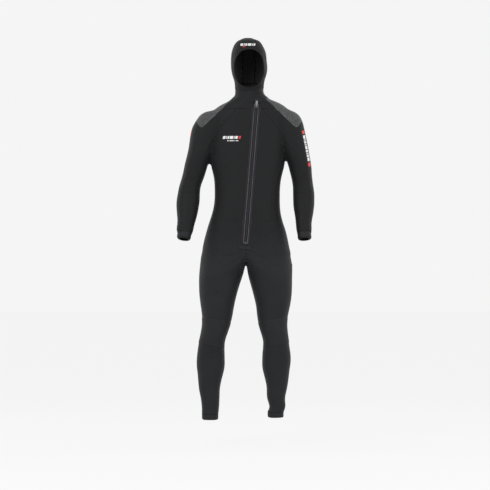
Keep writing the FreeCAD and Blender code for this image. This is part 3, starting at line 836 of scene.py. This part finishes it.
def edge_fade():
    """1 on every seam, fading over a few rings of points to 0."""
    fade = SUNK.copy()
    for _ in range(FADE_ROUNDS):
        spread = fade.copy()
        np.maximum.at(spread, EDGES[:, 0], fade[EDGES[:, 1]] * FADE_SHARE)
        np.maximum.at(spread, EDGES[:, 1], fade[EDGES[:, 0]] * FADE_SHARE)
        fade = spread
    return fade


# FADE, kept on each panel as its edge attribute, masks the painted highlight along the seams.
FADE = edge_fade()
REPLACED = {side + "_sleeve": [side + "_sleeve_head", side + "_upper_sleeve"] for side in SIDES}


def finish_of(piece):
    node = REPLACED.get(piece, [piece])[0]
    return SLOT[node]


def panel(piece):
    """One cut piece of the suit, with rounded sunk edges, foam thickness and lining."""
    quads = QUADS[LABEL == piece]
    used, packed = np.unique(quads, return_inverse=True)
    mesh = mesh_from(piece + "_fabric", CO[used], packed.reshape(-1, 4))
    for name, values in (("edge", FADE), ("sunk", SUNK)):
        kept = mesh.attributes.new(name, "FLOAT", "POINT")
        kept.data.foreach_set("value", values[used].astype(np.float32))
    area = sum(p.area for p in mesh.polygons)
    bm = bmesh.new()
    bm.from_mesh(mesh)
    bmesh.ops.inset_region(bm, faces=bm.faces[:], thickness=EDGE_WIDTH, use_boundary=True,
                           use_even_offset=False)
    bm.normal_update()
    layer = bm.verts.layers.float["sunk"]
    for vert in bm.verts:
        if vert.is_boundary:
            vert.co -= vert.normal * EDGE_DEPTH * vert[layer]
    bm.to_mesh(mesh)
    bm.free()
    slot = finish_of(piece)
    look = slot + "_" + piece.split("_")[0] if slot == "yoke_grey" else slot
    for name in (look, "lining", "cut_foam"):
        mesh.materials.append(MATERIALS[name])
    obj = new_object(piece + "_fabric", mesh)
    thick = obj.modifiers.new("foam", "SOLIDIFY")
    thick.thickness = CUFF_WALL if piece.endswith("_cuff") else WALL
    thick.offset = -1
    thick.material_offset, thick.material_offset_rim = LINING, RIM
    thick.use_rim = True
    applied(obj)
    smooth = [p.material_index != RIM for p in obj.data.polygons]
    obj.data.polygons.foreach_set("use_smooth", smooth)
    length = float(np.ptp(CO[used], axis=0).max())
    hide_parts(*REPLACED.get(piece, [piece]))
    moves_with(obj, motion_of(piece))
    return obj, area, length


PANELS = {piece: panel(piece) for piece in sorted(set(LABEL.tolist()) - {"hole"})}


# ---- sewing

def unit(vectors):
    return vectors / (np.linalg.norm(vectors, axis=1)[:, None] + 1e-12)


def ring_faces(rings, sides):
    """Quads between rings of points, with a cap at each end."""
    faces = [(r * sides + k, r * sides + (k + 1) % sides,
              (r + 1) * sides + (k + 1) % sides, (r + 1) * sides + k)
             for r in range(rings - 1) for k in range(sides)]
    last = (rings - 1) * sides
    return faces + [tuple(range(sides))[::-1], tuple(range(last, last + sides))]


def tube(points, surface, radius, sides=5):
    """Rings of a thin round thread along points, lying on a surface with the given normals."""
    points = np.array(points)
    tangent = unit(np.gradient(points, axis=0))
    across = unit(np.cross(np.array(surface), tangent))
    up = np.cross(tangent, across)
    angles = 2 * np.pi * np.arange(sides) / sides
    rings = [points + radius * (math.cos(a) * across + math.sin(a) * up) for a in angles]
    return np.stack(rings, axis=1).reshape(-1, 3), ring_faces(len(points), sides)


def resampled(points, step):
    """Points at an even spacing along a line."""
    points = np.array(points)
    lengths = np.concatenate([[0], np.cumsum(np.linalg.norm(np.diff(points, axis=0), axis=1))])
    count = max(int(lengths[-1] / step), 2)
    at = np.linspace(0, lengths[-1], count + 1)
    return np.stack([np.interp(at, lengths, points[:, axis]) for axis in range(3)], axis=1)


def on_skin(points):
    """The nearest points of the skin, and its normals there."""
    hits = [SKIN_TREE.find_nearest(Vector(point)) for point in points]
    return np.array([hit[0] for hit in hits]), np.array([hit[1] for hit in hits])


def zigzag(points, reach=STITCH_REACH, step=STITCH_STEP, radius=THREAD_RADIUS, lift=0.15 * MM):
    """A thread sewn from side to side across a line on the skin."""
    points = resampled(points, step)
    if len(points) < 4:
        return None
    places, facing = on_skin(points)
    across = unit(np.cross(facing, np.gradient(points, axis=0)))
    swing = np.where(np.arange(len(points)) % 2 == 0, reach, -reach)[:, None]
    return tube(places + across * swing + facing * lift, facing, radius, 4)


def ribbon(points, half=RIBBON_HALF, lift=0.30 * MM):
    """A flat band bonded over a line on the skin, with softly rounded edges."""
    points = resampled(points, SEAM_STEP)
    for _ in range(4):
        points[1:-1] = 0.5 * points[1:-1] + 0.25 * (points[:-2] + points[2:])
    places, facing = on_skin(points)
    across = unit(np.cross(facing, np.gradient(places, axis=0)))
    profile = ((-1.0, -0.6), (-0.9, 0.55), (-0.45, 1.0), (0.45, 1.0), (0.9, 0.55), (1.0, -0.6))
    verts = np.stack([places + across * half * x + facing * lift * y for x, y in profile], axis=1)
    return verts.reshape(-1, 3), ring_faces(len(places), len(profile))


def border_paths():
    """Every seam line as ordered points, with the two pieces that it joins."""
    links = {}
    border = LABEL[PAIRS[:, 0]] != LABEL[PAIRS[:, 1]]
    for (a, b), (f, g) in zip(EDGES[border].tolist(), PAIRS[border].tolist()):
        key = tuple(sorted((LABEL[f], LABEL[g])))
        step = links.setdefault(key, {})
        step.setdefault(a, []).append(b)
        step.setdefault(b, []).append(a)
    for key, step in sorted(links.items()):
        left = {frozenset((a, b)) for a in step for b in step[a]}
        ends = [a for a in sorted(step) if len(step[a]) == 1]
        for start in ends + sorted(step):
            path = [start]
            while True:
                here = path[-1]
                after = [n for n in step[here] if frozenset((here, n)) in left]
                if not after:
                    break
                left.discard(frozenset((here, after[0])))
                path.append(after[0])
            if len(path) > 4:
                yield key, CO[path]


class Heap:
    """Loose meshes gathered into one piece."""

    def __init__(self):
        self.verts, self.faces, self.count = [], [], 0

    def add(self, made):
        if made is None:
            return
        verts, faces = made
        self.verts.append(verts)
        self.faces += [tuple(k + self.count for k in face) for face in faces]
        self.count += len(verts)

    def piece(self, name, look, slot, motion):
        mesh = mesh_from(name, np.vstack(self.verts), self.faces)
        mesh.materials.append(MATERIALS[look])
        smooth_shaded(mesh)
        obj = new_object(name, mesh)
        return moves_with(obj, motion)

    def on_panel(self, piece, tail, look=None):
        """A piece that moves with a panel, by default in the panel's material."""
        if self.count:
            slot = finish_of(piece)
            self.piece(piece + tail, look or slot, slot, motion_of(piece))


def owner_of(key):
    """The piece whose motion a shared seam follows: the one that bends, if either does."""
    bending = [piece for piece in key if len(motion_of(piece)) > 1]
    return bending[0] if bending else key[0]


threads, hems = {}, {}
for key, path in border_paths():
    if "hole" in key:
        other = key[0] if key[1] == "hole" else key[1]
        hems.setdefault(other, []).append(path)
    elif is_sewn(*key):
        threads.setdefault(owner_of(key), Heap()).add(zigzag(path))
for piece, heap in sorted(threads.items()):
    heap.on_panel(piece, "_stitching", "thread")


# ---- hems, flaps and pads

HEM_RADIUS = {"face_band": 2.2 * MM, "wrist": 1.5 * MM, "ankle": 1.7 * MM}


def hem_of(piece):
    """A rolled edge round an opening."""
    kind = "face_band" if piece == "face_band" else piece.split("_")[1]
    heap = Heap()
    for path in hems[piece]:
        points = resampled(path, SEAM_STEP)
        for _ in range(3):
            points = (points + np.roll(points, 1, axis=0) + np.roll(points, -1, axis=0)) / 3
        points = np.vstack([points, points[:1]])
        heap.add(tube(points, on_skin(points)[1], HEM_RADIUS[kind], 10))
    heap.on_panel(piece, "_hem", "seal_smoothskin")


for piece in sorted(hems):
    if "cuff" in piece or piece == "face_band":
        hem_of(piece)


def reworked(node, tail, look, motion, *steps):
    """A CAD part's own solid with modifiers applied; each step is a kind and its settings."""
    obj = new_object(node + tail, welded(node))
    for kind, settings in steps:
        step = obj.modifiers.new(kind.lower(), kind)
        for key, value in settings.items():
            setattr(step, key, value)
    applied(obj)
    obj.data.materials.clear()
    obj.data.materials.append(MATERIALS[look])
    smooth_shaded(obj.data)
    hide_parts(node)
    moves_with(obj, motion)


def softened(node, voxel, rounds, look, motion=("torso",)):
    """A soft small part: its CAD solid remeshed finely, with its edges eased."""
    reworked(node, "_soft", look, motion, ("REMESH", {"mode": "VOXEL", "voxel_size": voxel}),
             ("SMOOTH", {"iterations": rounds, "factor": 0.5}))


def rounded(node, width, look, motion=("torso",)):
    """A hard small part: its CAD solid with every edge bevelled."""
    reworked(node, "_detail", look, motion, ("BEVEL", {
        "width": width, "segments": 3, "limit_method": "ANGLE",
        "angle_limit": math.radians(35)}))


def slab(tops, bottoms, rows, columns):
    """A closed thin plate from two grids of points, given row after row."""
    wide, count = columns + 1, len(tops)
    faces = [(r * wide + c, r * wide + c + 1, (r + 1) * wide + c + 1, (r + 1) * wide + c)
             for r in range(rows) for c in range(columns)]
    faces += [tuple(k + count for k in face)[::-1] for face in faces]
    rim = list(range(columns)) + [r * wide + columns for r in range(rows)]
    rim += [rows * wide + c for c in range(columns, 0, -1)] + [r * wide for r in range(rows, 0, -1)]
    faces += [(b, a, a + count, b + count) for a, b in zip(rim, rim[1:] + rim[:1])]
    right, down = tops[1] - tops[0], tops[wide] - tops[0]
    if right.cross(down).dot(tops[0] - bottoms[0]) < 0:
        faces = [face[::-1] for face in faces]
    return tops + bottoms, faces


softened("chin_flap", 1.2 * MM, 4, "neoprene_black", MOTION["neck"])
softened("zip_garage", 0.8 * MM, 4, "pad_rubber", MOTION["neck"])
softened("zip_bottom_patch", 0.7 * MM, 3, "pad_rubber")
softened("zip_underflap", 1.2 * MM, 3, "neoprene_black")
PAD_SPREAD, PAD_COLUMNS, PAD_ROWS = math.radians(98), 64, 60
PAD_HEIGHT, PAD_EDGE, PAD_BITE = 1.6 * MM, 5.0 * MM, 0.6 * MM
PAD_SLOPE, PAD_BOW = 0.16, 9.0 * MM


def knee_pad(side, sign):
    """A pad over the front of the knee, higher outside, with bowed ends and eased edges."""
    name = side + "_knee_pad"
    low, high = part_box(name)
    wide, tall = high.x - low.x, high.z - low.z
    axis = Vector(((low.x + high.x) / 2, pivot(side + "_knee_bend").y, 0))
    tops, bottoms = [], []
    for i in range(PAD_COLUMNS + 1):
        turn = PAD_SPREAD * (2 * i / PAD_COLUMNS - 1)
        way = Vector((math.sin(turn), -math.cos(turn), 0))
        rise = PAD_SLOPE * way.x * sign * wide / 2
        bow = PAD_BOW * (math.cos(turn) - 0.6)
        side_edge = min(i, PAD_COLUMNS - i) / PAD_COLUMNS * PAD_SPREAD * wide
        for j in range(PAD_ROWS + 1):
            share = j / PAD_ROWS
            z = low.z + rise - 0.4 * bow + (tall + 1.2 * bow) * share
            hit, normal, _, _ = SKIN_TREE.ray_cast(axis + Vector((0, 0, z)), way)
            lift = min(1.0, min(min(share, 1 - share) * tall, side_edge) / PAD_EDGE)
            tops.append(hit + normal * (PAD_HEIGHT * math.sin(lift * math.pi / 2) + 0.1 * MM))
            bottoms.append(hit - normal * PAD_BITE)
    pad = Heap()
    pad.add(slab(tops, bottoms, PAD_COLUMNS, PAD_ROWS))
    obj = pad.piece(name + "_soft", "pad_rubber", SLOT[name], MOTION[side + "_knee"])
    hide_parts(name)


for side, sign in SIDES.items():
    knee_pad(side, sign)
    for limb in ("_wrist", "_ankle"):
        rounded(side + limb + "_seal", 0.7 * MM, "seal_smoothskin", MOTION[side + limb + "_cuff"])


# ---- the zip

TOOTH = (4.8 * MM, 1.9 * MM, 3.0 * MM)
TOOTH_PITCH = 3.6 * MM
TOOTH_SHIFT = 1.7 * MM
TOOTH_EDGE = 0.45 * MM
BEAD_ASIDE, BEAD_SINK, BEAD_RADIUS = 5.4 * MM, 0.4 * MM, 1.25 * MM


def zip_point(height, aside=0.0, out=0.0):
    """A point on the zip's line at a height, moved sideways and outwards."""
    run = (height - ZIP_MIDDLE.z) / ZIP_WAY.z
    return ZIP_MIDDLE + ZIP_WAY * run + ZIP_SIDE * aside + ZIP_FRONT * out


def tooth_shape():
    """One moulded tooth: a rounded block with a narrower waist and a rounded nose."""
    bm = bmesh.new()
    bmesh.ops.create_cube(bm, size=1.0)
    bmesh.ops.scale(bm, vec=TOOTH, verts=bm.verts)
    bmesh.ops.bevel(bm, geom=bm.edges[:], offset=TOOTH_EDGE, segments=2, profile=0.5,
                    affect="EDGES")
    for vert in bm.verts:
        if abs(vert.co.x) < 0.3 * TOOTH[0]:
            vert.co.y *= 0.8
    verts = np.array([vert.co[:] for vert in bm.verts])
    faces = [tuple(v.index for v in face.verts) for face in bm.faces]
    bm.free()
    return verts, faces


def zip_chain():
    """Two staggered rows of teeth, and a bead down each tape's inner edge."""
    shape, faces = tooth_shape()
    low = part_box("zip_teeth")[0]
    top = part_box("zip_top_stops")[0].z
    frame_axes = np.array([ZIP_SIDE, ZIP_WAY, ZIP_FRONT])
    chain = Heap()
    count = int((top - low.z) / ZIP_WAY.z / TOOTH_PITCH)
    for row in (-1, 1):
        for k in range(count):
            height = low.z + (k + 0.25 * (1 + row)) * TOOTH_PITCH * ZIP_WAY.z
            at = np.array(zip_point(height, row * TOOTH_SHIFT))
            chain.add((shape @ frame_axes + at, faces))
    obj = chain.piece("zip_chain", "zip_tooth", "zip_tooth", ("torso",))
    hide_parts("zip_teeth")
    cords = Heap()
    heights = np.linspace(low.z, top, 120)
    for aside in (-BEAD_ASIDE, BEAD_ASIDE):
        line = [zip_point(z, aside, -BEAD_SINK) for z in heights]
        cords.add(tube(line, [ZIP_FRONT] * len(line), BEAD_RADIUS, 8))
    cords.piece("zip_tape_beads", "zip_tape", "zip_tape", ("torso",))


def zip_sheen_and_stitching():
    """A pale line on each side of the teeth, a painted sheen of the tape there, and a dark one near each tape's
    outer edge.
    """
    low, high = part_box("right_zip_tape")
    heights = np.linspace(low.z + 6 * MM, high.z - 6 * MM, 260)
    for name, look, aside, radius in (
            # The pale lines are a painted sheen of the tape, drawn as a fine pale thread; the dark ones are
            # stitching.
            ("zip_pale_stitching", "pale_thread", 9.0 * MM, 0.55 * MM),
            ("zip_edge_stitching", "thread", 17.5 * MM, 0.45 * MM)):
        heap = Heap()
        for sign in (-1, 1):
            line = [zip_point(z, sign * aside) for z in heights]
            heap.add(zigzag(line, 0.35 * MM, 2.0 * MM, radius, 0.25 * MM))
        heap.piece(name, look, "zip_tape", ("torso",))


zip_chain()
zip_sheen_and_stitching()
rounded("zip_bottom_box", 0.5 * MM, "zip_metal")
rounded("zip_top_stops", 0.4 * MM, "zip_metal")
rounded("zip_slider", 0.5 * MM, "zip_metal", ("slider",))
rounded("slider_pin", 0.2 * MM, "zip_metal", ("slider",))
rounded("zip_pull", 0.4 * MM, "pull_grey", ("pull",))


# ---- seams that cross panels

SOLID_LABEL = LABEL[LABEL != "hole"]
FAR = 1.0


def piece_at(point):
    return SOLID_LABEL[SKIN_TREE.find_nearest(Vector(point))[2]]


def cast(origin, way):
    """Where a straight line first meets the skin, or None."""
    return SKIN_TREE.ray_cast(Vector(origin), Vector(way))[0]


def sewn_line(points, tapes, seams):
    """A taped and stitched seam along points, cut where it passes from one piece to the next."""
    points = resampled([p for p in points if p is not None], SEAM_STEP)
    owners = [piece_at(p) for p in points]
    start = 0
    for k in range(1, len(points) + 1):
        if k == len(points) or owners[k] != owners[start]:
            run = points[start:min(k + 1, len(points))]
            if len(run) > 3:
                tapes.setdefault(owners[start], Heap()).add(ribbon(run))
                seams.setdefault(owners[start], Heap()).add(zigzag(run, lift=0.55 * MM))
            start = k


# seams on the hip and thigh, as steps outwards and upwards from the hip's joint
HIP_SEAMS = [
    [(0.010, 0.112), (0.024, 0.050), (0.034, -0.020), (0.046, -0.120)],
    [(0.072, -0.150), (0.047, -0.188), (0.022, -0.208)],
]


def long_seams():
    """Sleeve, flank and leg seams, found by looking at the skin along the main directions."""
    tapes, seams = {}, {}
    for side, sign in SIDES.items():
        shoulder, elbow = pivot(side + "_shoulder_raise"), pivot(side + "_elbow_bend")
        wrist = Vector(MOUNT[side + "_wrist_opening"]["pos_m"])
        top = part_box(side + "_shoulder_yoke")[0].z
        line = [wrist, elbow, shoulder, Vector((shoulder.x, 0, top))]
        heights = np.linspace(top - 6 * MM, wrist.z + 12 * MM, 90)
        xs = np.interp(heights, [p.z for p in line], [p.x for p in line])
        sewn_line([cast((x, -FAR, z), BACK) for x, z in zip(xs, heights)], tapes, seams)
        hip, knee = pivot(side + "_hip_bend"), pivot(side + "_knee_bend")
        ankle = Vector(MOUNT[side + "_ankle_opening"]["pos_m"])
        heights = np.linspace(hip.z - 85 * MM, ankle.z + 18 * MM, 120)
        sewn_line([cast((0, 6 * MM, z), (sign, 0, 0)) for z in heights], tapes, seams)
        for places in HIP_SEAMS:
            spots = resampled([hip + Vector((x * sign, 0, z)) for x, z in places], 4 * MM)
            for _ in range(8):
                spots[1:-1] = (spots[:-2] + spots[1:-1] + spots[2:]) / 3
            sewn_line([cast((p[0], -FAR, p[2]), BACK) for p in spots], tapes, seams)
        back = [hip.lerp(knee, t) + Vector((0, 0, 30 * MM)) for t in np.linspace(0.1, 0.75, 60)]
        sewn_line([cast((p.x, FAR, p.z), FRONT) for p in back], tapes, seams)
    return tapes, seams


tapes, seams = long_seams()
for piece, heap in sorted(tapes.items()):
    heap.on_panel(piece, "_seam_tape")
for piece, heap in sorted(seams.items()):
    heap.on_panel(piece, "_tape_stitching", "thread")


# ---- printed marks

GAP = 0.35 / 2                     # between bars, as a share of the widest
MARK_STEP, MARK_TOP, MARK_BACK = 2 * MM, 0.55 * MM, 0.5 * MM
BADGE_BARS, BADGE_LINE = (3, 1, 2, 4, 1, 3), (2, 5, 1, 3)
HOOD_BARS, ARM_BARS = (3, 1, 2, 4, 1, 2), (3, 1, 2, 1, 3, 2, 1, 2, 3)


class Print:
    """Marks of one colour on the skin, seen along a direction; sizes in millimetres."""

    def __init__(self, at, across, up, way):
        self.heap, self.at, self.across, self.up, self.way = Heap(), at, across, up, way

    def patch(self, x, z, width, height, slant=0.0):
        """A slanted bar wrapped over the skin, from its lower left corner."""
        x, z, width, height, slant = (value * MM for value in (x, z, width, height, slant))
        wide, tall = max(int(width / MARK_STEP), 2), max(int(height / MARK_STEP), 2)
        tops = []
        for j in range(tall + 1):
            for i in range(wide + 1):
                point = self.at + self.across * (x + width * i / wide + slant * j / tall)
                point += self.up * (z + height * j / tall)
                hit, normal, _, _ = SKIN_TREE.ray_cast(point - self.way, self.way)
                if hit is None:
                    return
                tops.append(hit + normal * MARK_TOP)
        bottoms = [top + self.way * MARK_BACK for top in tops]
        self.heap.add(slab(tops, bottoms, tall, wide))

    def bars(self, span, height, widths, slant=0.0, base=0.0, shift=0.0):
        """A row of plain bars of uneven widths filling a span."""
        gap = GAP * max(widths)
        unit = span / (sum(widths) + gap * (len(widths) - 1))
        x = shift - span / 2
        for width in widths:
            self.patch(x, base, width * unit, height, slant)
            x += (width + gap) * unit

    def piece(self, name, look, motion, node=None, slot=None):
        obj = self.heap.piece(name, look, slot or look, motion)
        if node:
            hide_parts(node)


def printed_marks():
    """Plain striped marks on the chest, the hood and the sleeves."""
    right, up, inward = Vector((1, 0, 0)), Vector((0, 0, 1)), Vector(BACK)
    view = (middle("chest_badge"), right, up, inward)
    white, red = Print(*view), Print(*view)
    white.bars(66, 13, BADGE_BARS, 3)
    white.bars(50, 4, BADGE_LINE, 1, -10, shift=12)
    red.patch(37, 0, 10, 13, 3)
    white.piece("chest_mark_white", "print_white", ("torso",), "chest_badge")
    red.piece("chest_mark_red", "print_red", ("torso",))

    view = (middle("hood_badge") + Vector((12 * MM, 0, 0)), right, up, inward)
    white, red = Print(*view), Print(*view)
    white.bars(66, 11, HOOD_BARS, 2, -5)
    red.patch(-24, -11, 12, 4, 1)
    white.piece("hood_mark_white", "print_white", ("hood",), "hood_badge")
    red.piece("hood_mark_red", "print_red", ("hood",))

    elbow, shoulder = pivot("left_elbow_bend"), pivot("left_shoulder_raise")
    run, way = Vector((0.19, 0, -1)).normalized(), Vector((-0.52, 0.85, 0)).normalized()
    top = Vector((shoulder.x, elbow.y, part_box("left_arm_badge")[1].z))
    view = (top + run * 78 * MM, run, way.cross(run).normalized(), way)
    white, red = Print(*view), Print(*view)
    white.bars(118, 17, ARM_BARS, 0, -8.5)
    red.patch(-80, -10.5, 15, 21)
    red.patch(66, -10.5, 17, 21)
    white.piece("left_arm_mark_white", "print_white", MOTION["left_sleeve"], "left_arm_badge")
    red.piece("left_arm_mark_red", "print_red", MOTION["left_sleeve"])

    way = Vector((0.92, 0.39, 0)).normalized()
    red = Print(middle("right_arm_badge"), way.cross(up), up, way)
    red.patch(-15, -13, 30, 26)
    red.piece("right_arm_mark", "print_red", MOTION["right_sleeve"], "right_arm_badge")

    for side, sign in SIDES.items():
        name = side + "_forearm"
        low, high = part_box(name)
        edge = low.x if sign < 0 else high.x
        at = Vector((edge, (low.y + high.y) / 2 - 4 * MM, low.z + 78 * MM))
        pale = Print(at, inward, up, Vector((-sign, 0, 0)))
        pale.patch(-6, -20, 12, 40)
        pale.piece(name + "_mark", "pull_grey", MOTION[name], slot=SLOT[name])


printed_marks()


def chin_piping():
    """A pale line down the chin flap's free edge."""
    low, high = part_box("chin_flap")
    heights = np.linspace(high.z - 14 * MM, low.z - 8 * MM, 20)
    xs = np.linspace(high.x - 9 * MM, high.x - 1 * MM, 20)
    line = [cast((x, -FAR, z), BACK) for x, z in zip(xs, heights)]
    places, facing = on_skin([point for point in line if point is not None])
    heap = Heap()
    heap.add(tube(places + facing * 2.2 * MM, facing, 1.1 * MM, 8))
    heap.piece("chin_piping", "pale_thread", SLOT["chin_flap"], MOTION["neck"])


chin_piping()


# ---- the studio

PALE = (0.913, 0.913, 0.913, 1)
FLOOR, FLOOR_RADIUS = -1.105, 30.0
FLOOR_LOOK = {"Base Color": (0.10, 0.10, 0.10, 1), "Roughness": 1.0, "Specular IOR Level": 0.0,
              "Emission Color": (1, 1, 1, 1), "Emission Strength": 0.806}
LAMPS = (     # name, place, size in metres, watts
    ("key", (-2.2, -3.6, 2.2), 2.4, 90.0),
    ("fill", (2.8, -3.2, 1.0), 2.4, 55.0),
    ("rim_right", (-3.0, 1.6, 1.0), 1.6, 22.0),
    ("rim_left", (3.0, 1.6, 1.0), 1.6, 22.0),
)
AIM = Vector((0, 0, -0.1))
DISTANCE, COVERS, SENSOR = 15.0, 2.205, 36.0
VIEW_RIGHT, VIEW_DOWN = -2 * MM, -73 * MM


def studio():
    """A pale floor that meets an evenly lit background, and soft lights."""
    bm = bmesh.new()
    bmesh.ops.create_circle(bm, cap_ends=True, segments=96, radius=FLOOR_RADIUS)
    bmesh.ops.translate(bm, vec=(0, 0, FLOOR), verts=bm.verts)
    mesh = bpy.data.meshes.new("floor")
    bm.to_mesh(mesh)
    bm.free()
    mat = bpy.data.materials.new("floor")
    mat.use_nodes = True
    for socket, value in FLOOR_LOOK.items():
        mat.node_tree.nodes["Principled BSDF"].inputs[socket].default_value = value
    mesh.materials.append(mat)
    new_object("floor", mesh)
    world = bpy.data.worlds.new("studio")
    bpy.context.scene.world = world
    world.use_nodes = True
    back = world.node_tree.nodes["Background"]
    back.inputs["Color"].default_value = PALE
    back.inputs["Strength"].default_value = 1.0
    for name, place, size, power in LAMPS:
        light = bpy.data.lights.new(name, "AREA")
        light.size, light.energy = size, power
        lamp = new_object(name, light)
        lamp.visible_camera = False
        lamp.location = place
        lamp.rotation_euler = (AIM - Vector(place)).to_track_quat("-Z", "Y").to_euler()


def camera():
    """A long lens at hip height, straight on to the front."""
    low, high = (Vector(corner) for corner in CAD_BOX)
    data = bpy.data.cameras.new("camera")
    data.sensor_width, data.lens = SENSOR, SENSOR * DISTANCE / COVERS
    cam = new_object("camera", data)
    cam.location = ((low.x + high.x) / 2 + VIEW_RIGHT, -DISTANCE, (low.z + high.z) / 2 + VIEW_DOWN)
    cam.rotation_euler = (math.pi / 2, 0, 0)
    bpy.context.scene.camera = cam


studio()
camera()
bpy.context.scene.view_settings.view_transform = "Standard"
